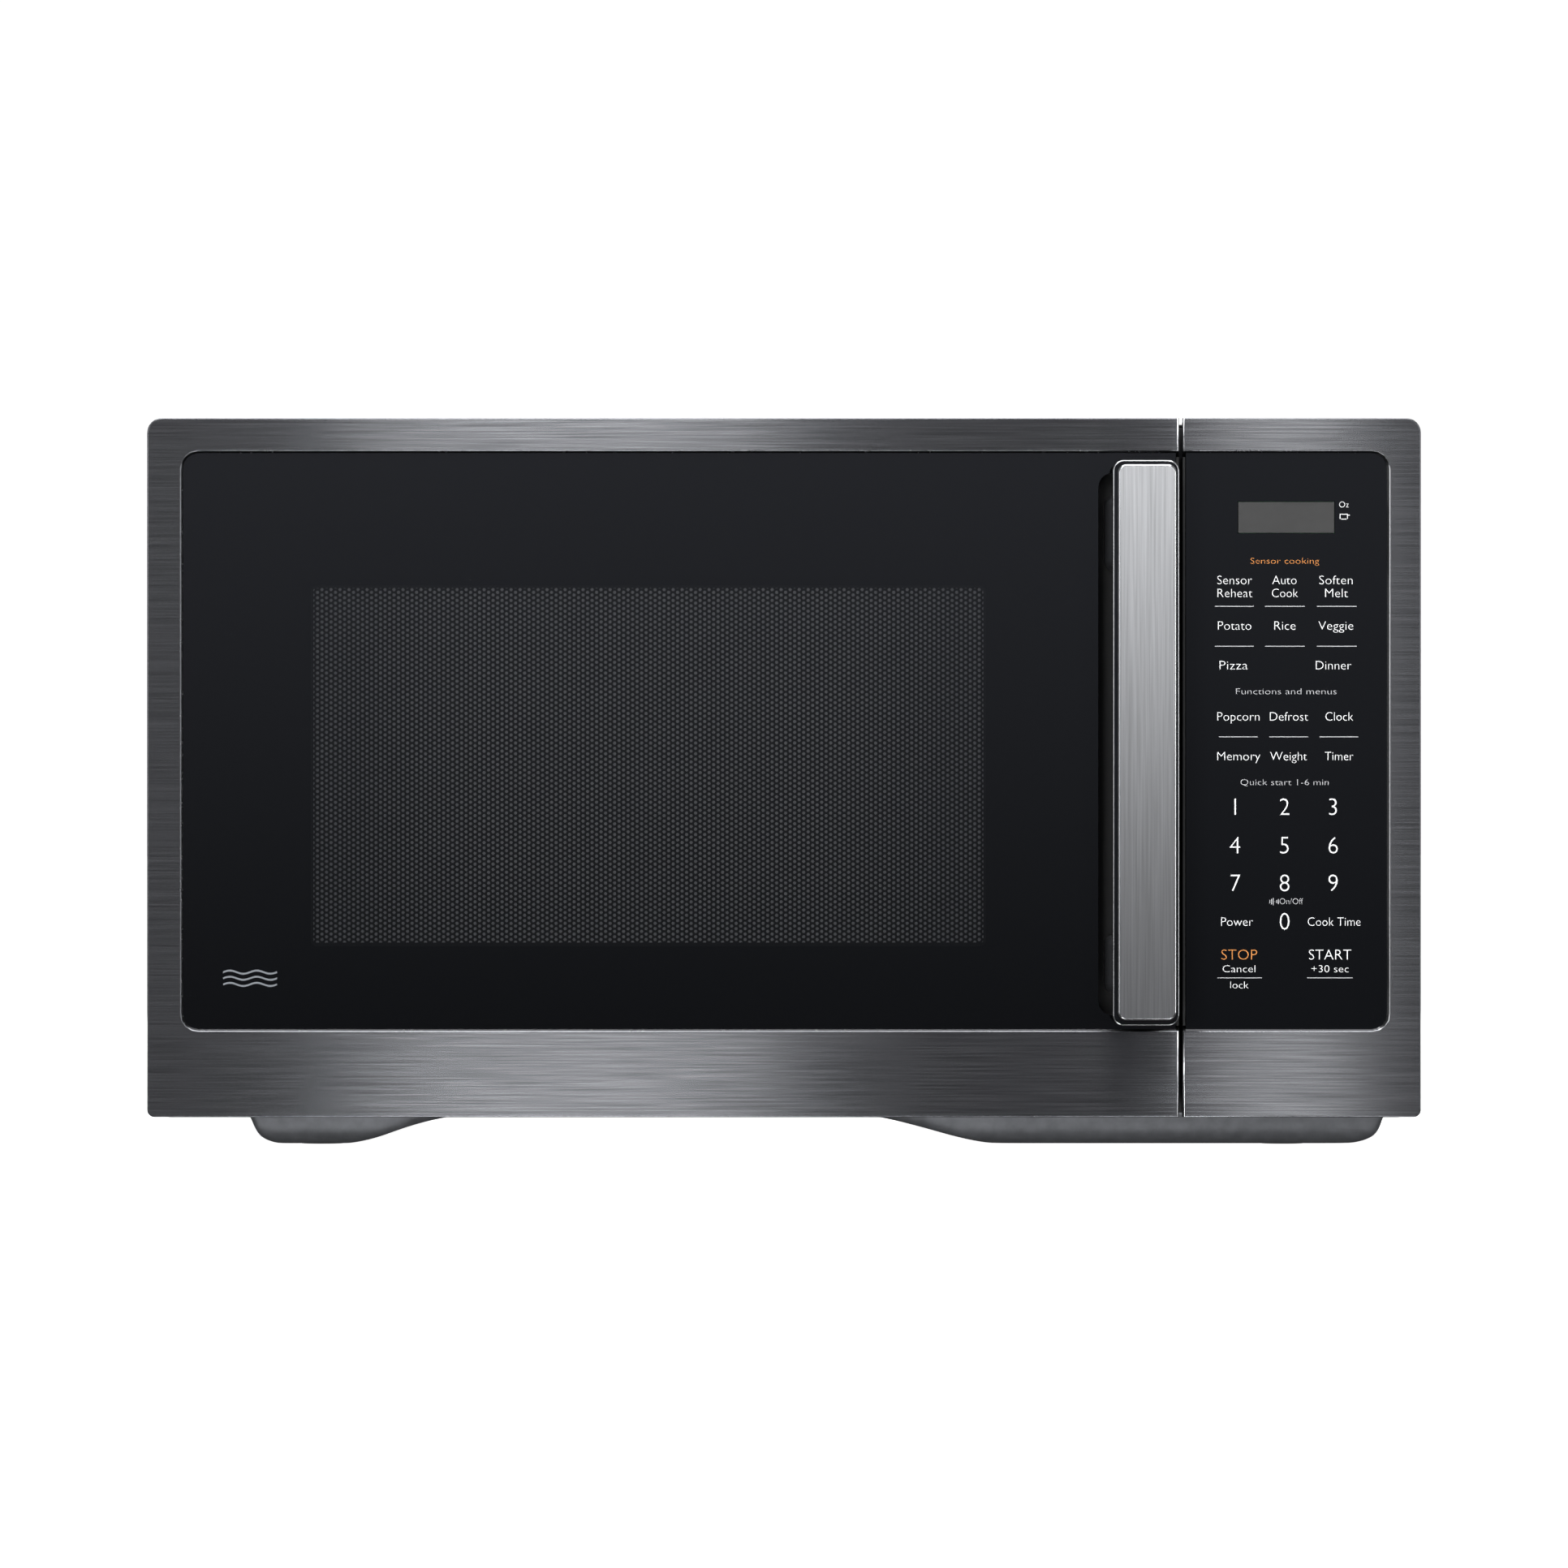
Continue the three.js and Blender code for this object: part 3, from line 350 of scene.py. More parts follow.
def smoked_glass():
    """Float glass with a smoked tint: clean reflections over a dark, half clear body."""
    made, tree, shader = material(
        "smoked float glass", "#050607", roughness=0.03, ior=1.52, alpha=0.5, specular_ior_level=1
    )
    tree.links.new(spread(tree, grain(tree, 60 * MM), 0.02, 0.05), shader.inputs["Roughness"])
    return made


def black_enamel():
    """Ceramic ink fired on the back of the glass: even and nearly black."""
    made, tree, shader = material("black ceramic ink", "#0b0c0e", roughness=0.5, specular_ior_level=0)
    tree.links.new(tinted(tree, grain(tree, 0.2 * MM), "#0a0b0d", "#0c0d0f"), shader.inputs["Base Color"])
    return made


def control_gloss():
    """Acrylic panel, printed black behind: the same clean gloss as the door glass."""
    made, tree, shader = material("black-backed acrylic", "#08090b", roughness=0.05, ior=1.49)
    tree.links.new(spread(tree, grain(tree, 60 * MM), 0.04, 0.07), shader.inputs["Roughness"])
    return made


def clear_glass():
    """Tempered soda-lime glass: clear, with a slight green cast at its edges."""
    made, tree, shader = material("tempered soda-lime glass", "#dfeae6", roughness=0.03, ior=1.52, alpha=0.3)
    tree.links.new(spread(tree, grain(tree, 40 * MM), 0.02, 0.05), shader.inputs["Roughness"])
    return made


def textured(name, dark, light, low, high, spacing, depth):
    """An even coat or moulding, dull or glossy between two values, with a fine texture of a real size."""
    made, tree, shader = material(name, light, ior=1.5)
    noise = grain(tree, spacing)
    tree.links.new(tinted(tree, noise, dark, light), shader.inputs["Base Color"])
    tree.links.new(spread(tree, noise, low, high), shader.inputs["Roughness"])
    rough(tree, shader, noise, depth)
    return made


def bare_metal(name, dark, light, low, high, spacing, metallic=1):
    """Bare or plated metal with the cloudy spangle of its coat."""
    made, tree, shader = material(name, light, metallic=metallic)
    noise = grain(tree, spacing, 5)
    tree.links.new(tinted(tree, noise, dark, light), shader.inputs["Base Color"])
    tree.links.new(spread(tree, noise, low, high), shader.inputs["Roughness"])
    return made


def ink(name, dark, light):
    """Screen-printed ink: flat, with a slightly uneven edge to its density."""
    made, tree, shader = material(name, light, roughness=0.5)
    tree.links.new(tinted(tree, grain(tree, 0.4 * MM), dark, light), shader.inputs["Base Color"])
    return made


def screen_film():
    """Pale polyester film behind the screen. Its faint glow is painted light that stands in for the lit
    cavity seen through the holes. It is painted brightest in the middle and dimmer towards the edges.
    """
    made, tree, shader = material(
        "pale grey polyester film with painted glow", "#e2e5ea", roughness=0.55, emission_strength=0.1
    )
    place = add(tree, "ShaderNodeSeparateXYZ", {"Vector": add(tree, "ShaderNodeTexCoord").outputs["Object"]})
    painted_glow_shares = []
    # The glow is painted light: full in the middle, and falling off to a share of it at the edges.
    for axis, centre, full, end, edge in (
        ("X", (WINDOW_LEFT + WINDOW_RIGHT) / 2, 0.07, 0.138, 0.3),
        ("Z", (WINDOW_LOW + WINDOW_HIGH) / 2, 0.025, 0.074, 0.72),
    ):
        offset = add(tree, "ShaderNodeMath", {0: place.outputs[axis], 1: centre}, operation="SUBTRACT")
        away = add(tree, "ShaderNodeMath", {0: offset.outputs[0]}, operation="ABSOLUTE")
        share = add(
            tree,
            "ShaderNodeMapRange",
            {"Value": away.outputs[0], "From Min": full, "From Max": end, "To Min": 1, "To Max": edge},
            interpolation_type="SMOOTHSTEP",
        )
        painted_glow_shares.append(share.outputs[0])
    both = add(tree, "ShaderNodeMath", {0: painted_glow_shares[0], 1: painted_glow_shares[1]}, operation="MULTIPLY").outputs[0]
    tree.links.new(
        add(tree, "ShaderNodeCombineColor", {"Red": both, "Green": both, "Blue": both}).outputs[0],
        shader.inputs["Emission Color"],
    )
    tree.links.new(tinted(tree, grain(tree, 20 * MM), "#e2e5ea", "#e9ecf1"), shader.inputs["Base Color"])
    return made


# The steel of the front, brushed from side to side and darkened, and that of the handle, brushed upwards.
BLACK_STAINLESS = brushed_steel("brushed black stainless steel", "#545558", "#7b7c7f", 0.25, "X", "X")
HANDLE_STAINLESS = brushed_steel(
    "brushed stainless steel, upright grain", "#bfc0c2", "#dcdddf", 0.3, "Z", "Z"
)
# The two edge steels are also painted light: the bright one is a painted highlight on edges that face the
# light, and the dull one is a painted shade on edges that face away.
POLISHED_EDGE_AND_HIGHLIGHT = polished_edge_and_highlight()
ROLLED_EDGE_AND_SHADE = rolled_edge_and_shade()

SMOKED_GLASS = smoked_glass()
BLACK_ENAMEL = black_enamel()
CONTROL_GLOSS = control_gloss()
CLEAR_GLASS = clear_glass()

# Mouldings: a polished mould gives a near mirror, an etched one a satin or matt face that hides scratches.
PIANO_BLACK = textured("piano-black ABS", "#08090a", "#0c0d0f", 0.08, 0.14, 30 * MM, 0.01 * MM)
SATIN_BLACK = textured("satin black ABS", "#060607", "#09090a", 0.4, 0.5, 0.8 * MM, 0.01 * MM)
# The posts' charcoal is a painted sheen: the handle's black moulding lightened where the posts catch the
# light.
POST_PAINTED_SHEEN = textured("black ABS, painted charcoal sheen", "#3c3d40", "#444548", 0.3, 0.4, 0.8 * MM, 0.01 * MM)
MATT_BLACK = textured("matt black ABS", "#131416", "#1b1c1e", 0.5, 0.62, 0.8 * MM, 0.02 * MM)
GREY_LENS = textured("smoked grey polycarbonate", "#333333", "#363636", 0.3, 0.4, 3 * MM, 0.002 * MM)
ACETAL = textured("natural acetal", "#dcdad4", "#e8e6e1", 0.35, 0.45, 1.5 * MM, 0.01 * MM)
FAN_NYLON = textured("black glass-filled nylon", "#1c1c1d", "#28282a", 0.5, 0.65, 0.6 * MM, 0.03 * MM)
RUBBER = textured("moulded black rubber", "#121212", "#1c1c1c", 0.75, 0.9, 0.5 * MM, 0.04 * MM)

# Coats on sheet steel: a soft gloss with the fine orange peel of the spray.
CASE_COAT = textured("charcoal powder coat", "#222326", "#2b2c2f", 0.4, 0.52, 0.9 * MM, 0.03 * MM)
SCREEN_COAT = textured("black baked enamel", "#141517", "#1a1b1d", 0.35, 0.45, 0.5 * MM, 0.005 * MM)
CAVITY_COAT = textured("light grey cavity enamel", "#a3a5a3", "#b3b5b3", 0.3, 0.42, 1.1 * MM, 0.02 * MM)

# The works: lacquered wire in fine ridges, flaky mica, and the smooth green lacquer of a board.
WINDING = textured("varnished copper windings", "#6e2c18", "#9a4526", 0.25, 0.4, 0.6 * MM, 0.08 * MM)
MICA = textured("mica sheet", "#a8a088", "#c6bfa6", 0.4, 0.6, 5 * MM, 0.03 * MM)
BOARD = textured("green solder mask", "#1d4a2c", "#2a5f3b", 0.3, 0.45, 4 * MM, 0.02 * MM)

# Bare and plated metals: a soft shine, clouded by a spangle of 1.5 to 9 mm.
ZINC = bare_metal("galvanised steel", "#bbbdbf", "#c9cbcd", 0.38, 0.46, 9 * MM)
BASE_ZINC = bare_metal("passivated zinc base sheet", "#6c6e72", "#7a7c80", 0.3, 0.4, 5 * MM, 0.7)
BRIGHT_ZINC = bare_metal("bright zinc plate", "#b4b6b8", "#cfd1d3", 0.22, 0.34, 1.5 * MM)
ALUMINIUM = bare_metal("mill-finish aluminium", "#c2c4c6", "#d6d8da", 0.28, 0.4, 4 * MM)
CORE_STEEL = bare_metal("varnished core laminations", "#56504a", "#6e665c", 0.4, 0.55, 2 * MM)

# The film's faint glow is painted light.
SCREEN_FILM_PAINTED_GLOW = screen_film()
SCREEN_BACK = screen_back()
WHITE_INK = ink("white panel ink", "#eff0f2", "#f8f9fa")
PALE_INK = ink("pale grey panel ink", "#b9babd", "#c4c5c8")
ORANGE_INK = ink("orange panel ink", "#d08440", "#dc9049")
GREY_INK = ink("grey panel ink", "#6f7379", "#7c8086")


def finish_with(obj, *materials):
    """Gives an object these materials alone."""
    obj.data.materials.clear()
    for made in materials:
        obj.data.materials.append(made)


def place(obj, body, finish, slot, replaced=()):
    """Gives a finished piece its finish and its body, and hides the CAD nodes that it stands for."""
    if finish:
        finish_with(obj, finish)
    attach(obj, body)
    if replaced:
        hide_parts(*([replaced] if isinstance(replaced, str) else replaced))
    return obj


# ---------------------------------------------------------------- camera and studio

# The front is seen square on from far away, with the oven across four fifths of the picture.
VIEW_DISTANCE = 5.0
VIEW_WIDTH = 0.64
CAMERA_HEIGHT = FRONT_MIDDLE - 0.4 * MM
SENSOR_WIDTH = 36


def camera():
    bpy.ops.object.camera_add(
        location=(0, FACE - VIEW_DISTANCE, CAMERA_HEIGHT), rotation=(math.radians(90), 0, 0)
    )
    made = bpy.context.object
    made.data.sensor_width = SENSOR_WIDTH
    made.data.lens = SENSOR_WIDTH * VIEW_DISTANCE / VIEW_WIDTH
    made.data.clip_end = 100
    bpy.context.scene.camera = made


def softbox(name, place_at, aim, width, height, power, colour="#ffffff"):
    """A rectangular light that the camera doesn't see itself."""
    bpy.ops.object.light_add(type="AREA", location=place_at)
    lamp = bpy.context.object
    lamp.name = name
    lamp.data.shape = "RECTANGLE"
    lamp.data.size, lamp.data.size_y = width, height
    lamp.data.energy = power
    lamp.data.color = linear(colour)[:3]
    lamp.rotation_euler = (Vector(aim) - Vector(place_at)).to_track_quat("-Z", "Y").to_euler()
    lamp.visible_camera = False
    return lamp


def glowing(name, low, high, bottom, top, curve, colour="#ffffff"):
    """A card that glows from one strength at its bottom to another at its top, rising along a curve."""
    made = bpy.data.materials.new(name)
    made.use_nodes = True
    tree = made.node_tree
    tree.nodes.remove(tree.nodes["Principled BSDF"])
    height = add(tree, "ShaderNodeSeparateXYZ", {"Vector": add(tree, "ShaderNodeTexCoord").outputs["Object"]})
    share = add(
        tree,
        "ShaderNodeMapRange",
        {"Value": height.outputs["Z"], "From Min": bottom, "From Max": top, "To Min": 0, "To Max": 1},
    )
    curved = add(tree, "ShaderNodeMath", {0: share.outputs[0], 1: curve}, operation="POWER")
    strength = add(
        tree, "ShaderNodeMapRange", {"Value": curved.outputs[0], "To Min": low, "To Max": high}
    )
    glow = add(tree, "ShaderNodeEmission", {"Color": linear(colour), "Strength": strength.outputs[0]})
    tree.links.new(glow.outputs[0], tree.nodes["Material Output"].inputs["Surface"])
    return made


def card(name, x, y, z, glow):
    """A glowing card square to the front, seen only in reflections."""
    bpy.ops.object.select_all(action="DESELECT")
    bpy.ops.mesh.primitive_plane_add(
        size=1, location=(sum(x) / 2, y, sum(z) / 2), rotation=(math.radians(90), 0, 0)
    )
    obj = bpy.context.object
    obj.scale = (x[1] - x[0], z[1] - z[0], 1)
    settle(obj, name)
    finish_with(obj, glow)
    obj.visible_camera = obj.visible_diffuse = obj.visible_shadow = False


def studio():
    """Pale floor and backdrop, strip lights for the brushed steel, and graded cards for the glass."""
    bpy.ops.mesh.primitive_plane_add(size=40, location=(0, 0, 0))
    floor = settle(bpy.context.object, "floor")
    made = bpy.data.materials.new("white studio floor")
    made.use_nodes = True
    shader = made.node_tree.nodes["Principled BSDF"]
    shader.inputs["Base Color"].default_value = linear("#f2f2f2")
    shader.inputs["Roughness"].default_value = 1
    shader.inputs["Specular IOR Level"].default_value = 0
    shader.inputs["Emission Color"].default_value = (1, 1, 1, 1)
    shader.inputs["Emission Strength"].default_value = 1
    finish_with(floor, made)
    floor.visible_glossy = floor.visible_shadow = floor.visible_diffuse = False

    world = bpy.data.worlds.new("studio")
    bpy.context.scene.world = world
    world.use_nodes = True
    tree = world.node_tree
    direct = add(tree, "ShaderNodeLightPath").outputs["Is Camera Ray"]
    seen = add(tree, "ShaderNodeBackground", {"Color": (1, 1, 1, 1), "Strength": 1.05})
    skyward = add(tree, "ShaderNodeTexCoord").outputs["Generated"]
    height = add(tree, "ShaderNodeSeparateXYZ", {"Vector": skyward})
    dusk = add(
        tree,
        "ShaderNodeMapRange",
        {"Value": height.outputs["Z"], "From Min": -0.35, "From Max": 0.1, "To Min": 0.06, "To Max": 0.2},
    )
    felt = add(tree, "ShaderNodeBackground", {"Color": (1, 1, 1, 1), "Strength": dusk.outputs[0]})
    both = add(tree, "ShaderNodeMixShader", {"Fac": direct, 1: felt.outputs[0], 2: seen.outputs[0]})
    tree.links.new(both.outputs[0], tree.nodes["World Output"].inputs["Surface"])

    # The brushing spreads each strip light into one upright band of light on the steel. The strips stand in
    # pairs, 28 degrees above and below the front, where the flat glass doesn't mirror them.
    steep, strip_height = math.radians(28), 0.25
    for name, x, reach, width, power in (
        ("broad", -0.107, 1.1, 0.2, 1.75),
        ("narrow", 0.231, 0.75, 0.07, 0.34),
    ):
        for level, way, share in (("above", 1, 0.94), ("below", -1, 1)):
            softbox(
                f"{name} strip {level}",
                (x, FACE - reach * math.cos(steep), FRONT_MIDDLE + way * reach * math.sin(steep)),
                (x, FACE, FRONT_MIDDLE),
                width,
                strip_height,
                power * share,
            )

    middle = (0, FACE, FRONT_MIDDLE)
    softbox("high front light", (0, -1.3, 2.1), middle, 2.0, 0.8, 26)
    # The fills reach the dull pieces under the front, and leave no reflection in the glass.
    for hand, x in (("left", -0.5), ("right", 0.7)):
        fill = softbox(f"{hand} front fill", (x, -2.6, 0.1), middle, 0.6, 0.5, 24)
        fill.visible_glossy = False
    softbox("left side light", (-1.7, -1.27, 0.17), middle, 0.4, 0.6, 1.8)
    softbox("right side light", (1.7, -0.6, 0.17), middle, 0.4, 0.6, 2.5)
    softbox("top light", (0, -0.4, 2.2), (0, -0.4, 0.2), 2.2, 0.6, 20)
    softbox("back light", (-0.4, 2.4, 1.0), (0, 0.1, 0.15), 2.0, 1.4, 34)

    # The front card is what the glass mirrors. The side cards grade the handle's plate from pale to dark.
    front_glow = glowing("front card glow", 0.1, 0.39, 0.0, 0.36, 1.15, "#e9eeff")
    card("front card", (-0.45, 0.45), -2.5, (-0.12, 0.42), front_glow)
    for hand, x, glow in (("left", (-1.6, -0.47), 2.5), ("right", (0.47, 1.6), 1.9)):
        card(f"{hand} card", x, -2.4, (-0.4, 0.8), glowing(f"{hand} card glow", 0.0, glow, 0.05, 0.34, 1.5))


# ---------------------------------------------------------------- door and control trims


def trim(node, name, gap, body, slot):
    """The brushed trim: bright cut edges at the gap and beside the controls, which are a painted highlight,
    and duller rolled ones elsewhere, which on the lip chamfers not facing left are a painted shade.
    """
    obj = copy_of(node, name)
    finish_with(obj, BLACK_STAINLESS, POLISHED_EDGE_AND_HIGHLIGHT, ROLLED_EDGE_AND_SHADE)
    polished, rolled = 1, 2
    low, high = BAND_LOW, BAND_HIGH
    left, right = side("door_glass", LEAST, "x"), side("control_glass", MOST, "x")
    # Round each side of the band this takes in the lip and its corners, but not the trim's outline.
    lip_reach = 9 * MM
    near = 0.01 * MM
    edit(obj)

    # The lip reaches a little further over the glass than the CAD piece's does.
    for level, rise in ((low, 0.7 * MM), (high, -0.5 * MM)):
        pick(
            obj,
            "verts",
            lambda m, v: abs(m.z - level) < lip_reach and DOOR_LEFT + 2 * MM < m.x < PANEL_RIGHT - 2 * MM,
        )
        bpy.ops.transform.translate(value=(0, 0, rise))
    for level, depth, shift in (
        (left, -1 * MM, 0.8 * MM),
        (right, -1 * MM, -0.6 * MM),
        (right, 0.5 * MM, -0.3 * MM),
    ):
        pick(
            obj,
            "verts",
            lambda m, v: abs(m.x - level) < lip_reach
            and low - lip_reach < m.z < high + lip_reach
            and m.y > FACE + depth,
        )
        bpy.ops.transform.translate(value=(shift, 0, 0))

    # The gap edges are painted bright: a painted highlight of the light they mirror.
    pick(obj, "edges", lambda m, e: abs(m.y - FACE) < near and abs(m.x - gap) < near)
    bpy.ops.mesh.bevel(offset=0.7 * MM, segments=2, affect="EDGES", material=polished)
    for width, at_band in ((0.35 * MM, True), (0.5 * MM, False)):
        pick(
            obj,
            "edges",
            lambda m, e: abs(m.y - FACE) < near
            and len(e.link_faces) == 2
            and e.calc_face_angle(0) > math.radians(30)
            and abs(m.x - gap) > 1 * MM
            and (low < m.z < high and DOOR_LEFT + 8 * MM < m.x < PANEL_RIGHT - 8 * MM) == at_band,
        )
        bpy.ops.mesh.bevel(offset=width, segments=4, affect="EDGES", material=rolled)
    # Lip chamfers facing left are painted bright, a painted highlight, and the others are painted dull, a
    # painted shade.
    for finish, facing in ((rolled, lambda n: n.x > -0.3), (polished, lambda n: n.x <= -0.3)):
        pick(
            obj,
            "faces",
            lambda m, f: FACE < m.y < GLASS
            and -0.95 < f.normal.y < -0.3
            and facing(f.normal)
            and low - 3 * MM < m.z < high + 3 * MM
            and DOOR_LEFT + 8 * MM < m.x < PANEL_RIGHT - 3 * MM
            and abs(m.x - gap) > 1 * MM,
        )
        obj.active_material_index = finish
        bpy.ops.object.material_slot_assign()
    done()
    smooth(obj, 40)
    place(obj, body, None, slot, node)


def door_front():
    trim("door_trim", "door_trim_brushed", DOOR_RIGHT, "door", "black_stainless")

    finish_with(nodes["door_glass"], SMOKED_GLASS)
    ink_layer = copy_of("door_glass", "door_black_ink")
    edit(ink_layer)
    bpy.ops.mesh.select_all(action="SELECT")
    bpy.ops.mesh.bisect(
        plane_co=(0, GLASS_BACK - 0.1 * MM, 0), plane_no=(0, 1, 0), use_fill=True, clear_inner=True
    )
    bpy.ops.mesh.select_all(action="SELECT")
    bpy.ops.transform.translate(value=(0, 0.15 * MM, 0))
    done()
    cut_away(
        ink_layer,
        box(
            "window",
            (WINDOW_LEFT, WINDOW_RIGHT),
            (GLASS_BACK - 3 * MM, GLASS_BACK + 3 * MM),
            (WINDOW_LOW, WINDOW_HIGH),
            2.5 * MM,
        ),
    )
    place(ink_layer, "door", BLACK_ENAMEL, "black_glass")

    shell = copy_of("door_shell", "door_shell_moulded")
    soften(shell, 0.6 * MM, 2, 30)
    place(shell, "door", SATIN_BLACK, "black_gloss", "door_shell")


def perforated_screen():
    """Steel screen behind the window: holes 2.2 mm apart in staggered columns, over a grey film."""
    column, pitch, hole = 1.84 * MM, 2.2 * MM, 0.72 * MM
    pairs, rows = 38, 67
    # It is made in two halves. Each starts on an odd column from the middle, so the stagger runs through.
    for name, first, columns in (("screen_left", -75, 76), ("screen_right", 1, 74)):
        bpy.ops.object.select_all(action="DESELECT")
        bpy.ops.mesh.primitive_circle_add(vertices=6, radius=hole, rotation=(0, 0, math.radians(30)))
        obj = settle(bpy.context.object, name)
        edit(obj)
        bpy.ops.mesh.select_all(action="SELECT")
        bpy.ops.mesh.extrude_edges_move()
        bpy.ops.transform.resize(
            value=(column / hole, pitch / (math.sqrt(3) * hole), 1), center_override=(0, 0, 0)
        )
        pick(obj, "verts", lambda m, v: abs(m.y) < 0.01 * MM and abs(m.x) > 1.2 * hole)
        bpy.ops.transform.resize(value=(0.5, 1, 1), center_override=(0, 0, 0))
        done()
        for count, dx, dy in ((2, column, pitch / 2), (pairs, 2 * column, 0), (rows, 0, pitch)):
            apply(
                obj,
                "ARRAY",
                count=count,
                use_relative_offset=False,
                use_constant_offset=True,
                constant_offset_displace=(dx, dy, 0),
            )
        edit(obj)
        pick(obj, "faces", lambda m, f: m.x > (columns - 0.5) * column)
        bpy.ops.mesh.delete(type="FACE")
        bpy.ops.mesh.select_all(action="SELECT")
        bpy.ops.mesh.remove_doubles(threshold=0.02 * MM)
        bpy.ops.mesh.normals_make_consistent(inside=False)
        done()
        obj.rotation_euler = (math.radians(90), 0, 0)
        obj.location = (
            (WINDOW_LEFT + WINDOW_RIGHT) / 2 + (first + 0.5) * column,
            SCREEN_FRONT,
            WINDOW_LOW + pitch / 4,
        )
        settle(obj, name)
        apply(obj, "SOLIDIFY", thickness=0.5 * MM, offset=0)
        place(obj, "door", SCREEN_COAT, "screen_paint")

    pan = copy_of("door_screen", "screen_pan")
    cut_away(
        pan,
        box(
            "hole",
            (WINDOW_LEFT + 1 * MM, WINDOW_RIGHT - 1 * MM),
            (SCREEN_FRONT - 3 * MM, SCREEN_FRONT + 3 * MM),
            (WINDOW_LOW + 1.5 * MM, WINDOW_HIGH - 1 * MM),
            1 * MM,
        ),
    )
    smooth(pan)
    place(pan, "door", SCREEN_COAT, "screen_paint", "door_screen")

    # The film glows with painted light, which stands in for the lit cavity seen through the holes.
    for name, margin, front, depth, finish, slot in (
        ("screen_film", 6 * MM, 1.2 * MM, 0.2 * MM, SCREEN_FILM_PAINTED_GLOW, "grey_lens"),
        ("screen_back", 7 * MM, 1.5 * MM, 0.4 * MM, SCREEN_BACK, "screen_paint"),
    ):
        sheet = box(
            name,
            (WINDOW_LEFT - margin, WINDOW_RIGHT + margin),
            (SCREEN_FRONT + front, SCREEN_FRONT + front + depth),
            (WINDOW_LOW - margin, WINDOW_HIGH + margin),
            3 * MM,
        )
        place(sheet, "door", finish, slot)


def rim_of_face(obj, front):
    """In edit mode, selects the edges round the flat face at the front of a piece."""
    pick(
        obj,
        "edges",
        lambda m, e: abs(m.y - front) < 0.01 * MM and e.calc_face_angle(0) > math.radians(30),
    )


def handle():
    """A gloss bar on two posts, with a brushed plate let into its face inside a bright line. The bar's rim is
    a painted highlight in bright steel, and the posts are painted charcoal as a painted sheen.
    """
    polished, post = 1, 2
    grip = copy_of("handle", "handle_moulded")
    finish_with(grip, PIANO_BLACK, POLISHED_EDGE_AND_HIGHLIGHT, POST_PAINTED_SHEEN)
    front = side("handle", LEAST, "y")
    bar_depth = 15 * MM
    edit(grip)
    # The bar's front rim is painted in bright steel: a painted highlight on the gloss-black rounding.
    rim_of_face(grip, front)
    bpy.ops.mesh.bevel(offset=0.5 * MM, segments=3, affect="EDGES", material=polished)
    done()
    soften(grip, 0.9 * MM, 3, 32)
    edit(grip)
    # The posts' faces are painted charcoal: a painted sheen for the light they catch.
    pick(grip, "faces", lambda m, f: m.y > front + bar_depth)
    grip.active_material_index = post
    bpy.ops.object.material_slot_assign()
    done()
    place(grip, "door", None, "black_gloss", "handle")

    plate = copy_of("handle_plate", "handle_plate_brushed")
    finish_with(plate, HANDLE_STAINLESS, POLISHED_EDGE_AND_HIGHLIGHT)
    edit(plate)
    rim_of_face(plate, side("handle_plate", LEAST, "y"))
    bpy.ops.mesh.bevel(offset=0.8 * MM, segments=2, affect="EDGES", material=polished)
    done()
    smooth(plate, 40)
    place(plate, "door", None, "stainless", "handle_plate")


def door_back():
    """The cavity side of the door: the moulded liner, its clear window, and the latch bar's hooks."""
    liner = copy_of("door_liner", "door_liner_moulded")
    soften(liner, 0.5 * MM, 2, 30)
    place(liner, "door", MATT_BLACK, "black_matt", "door_liner")
    finish_with(nodes["door_inner_window"], CLEAR_GLASS)
    hooks = copy_of("latch", "latch_moulded")
    soften(hooks, 0.5 * MM, 2, 30)
    place(hooks, "latch", ACETAL, "white_plastic", "latch")


# ---------------------------------------------------------------- controls


def lettering(text, x, z, height, width):
    """A printed word on the control glass: its middle, height and width in mm, or 0 for a plain width."""
    bpy.ops.object.select_all(action="DESELECT")
    bpy.ops.object.text_add(location=(0, 0, 0))
    word = bpy.context.object
    word.data.body = text
    word.data.align_x = "CENTER"
    word.data.align_y = "CENTER"
    word.data.resolution_u = 3
    word.data.offset = -0.017
    bpy.context.view_layer.update()
    scale = height * MM / 0.7
    across = width * MM / word.dimensions.x if width else scale * 0.95
    bpy.ops.object.convert(target="MESH")
    word = bpy.context.object
    word.scale = (across, scale, 1)
    word.rotation_euler = (math.radians(90), 0, 0)
    word.location = (x * MM, side("control_glass", LEAST, "y") - 0.03 * MM, z * MM)
    return settle(word, "word")


def rule(x0, x1, z, thickness=0.3 * MM):
    """A short printed bar on the control glass."""
    front = side("control_glass", LEAST, "y")
    return box("rule", (x0, x1), (front - 0.05 * MM, front - 0.01 * MM), (z, z + thickness))


def wave(x, z, length, height, thickness):
    """A wavy printed line, drawn with a run of small steps."""
    steps = 24
    front = side("door_glass", LEAST, "y")
    line = box("wave", (x, x + length), (front - 0.05 * MM, front - 0.01 * MM), (z, z + thickness))
    edit(line)
    for k in range(1, steps):
        bpy.ops.mesh.select_all(action="SELECT")
        bpy.ops.mesh.bisect(plane_co=(x + k * length / steps, 0, 0), plane_no=(1, 0, 0))
    for k in range(steps + 1):
        column = x + k * length / steps
        pick(line, "verts", lambda m, v: abs(m.x - column) < 0.1 * length / steps)
        rise = height / 2 * math.sin(2 * math.pi * k / 12)
        bpy.ops.transform.translate(value=(0, 0, rise))
    done()
    return line


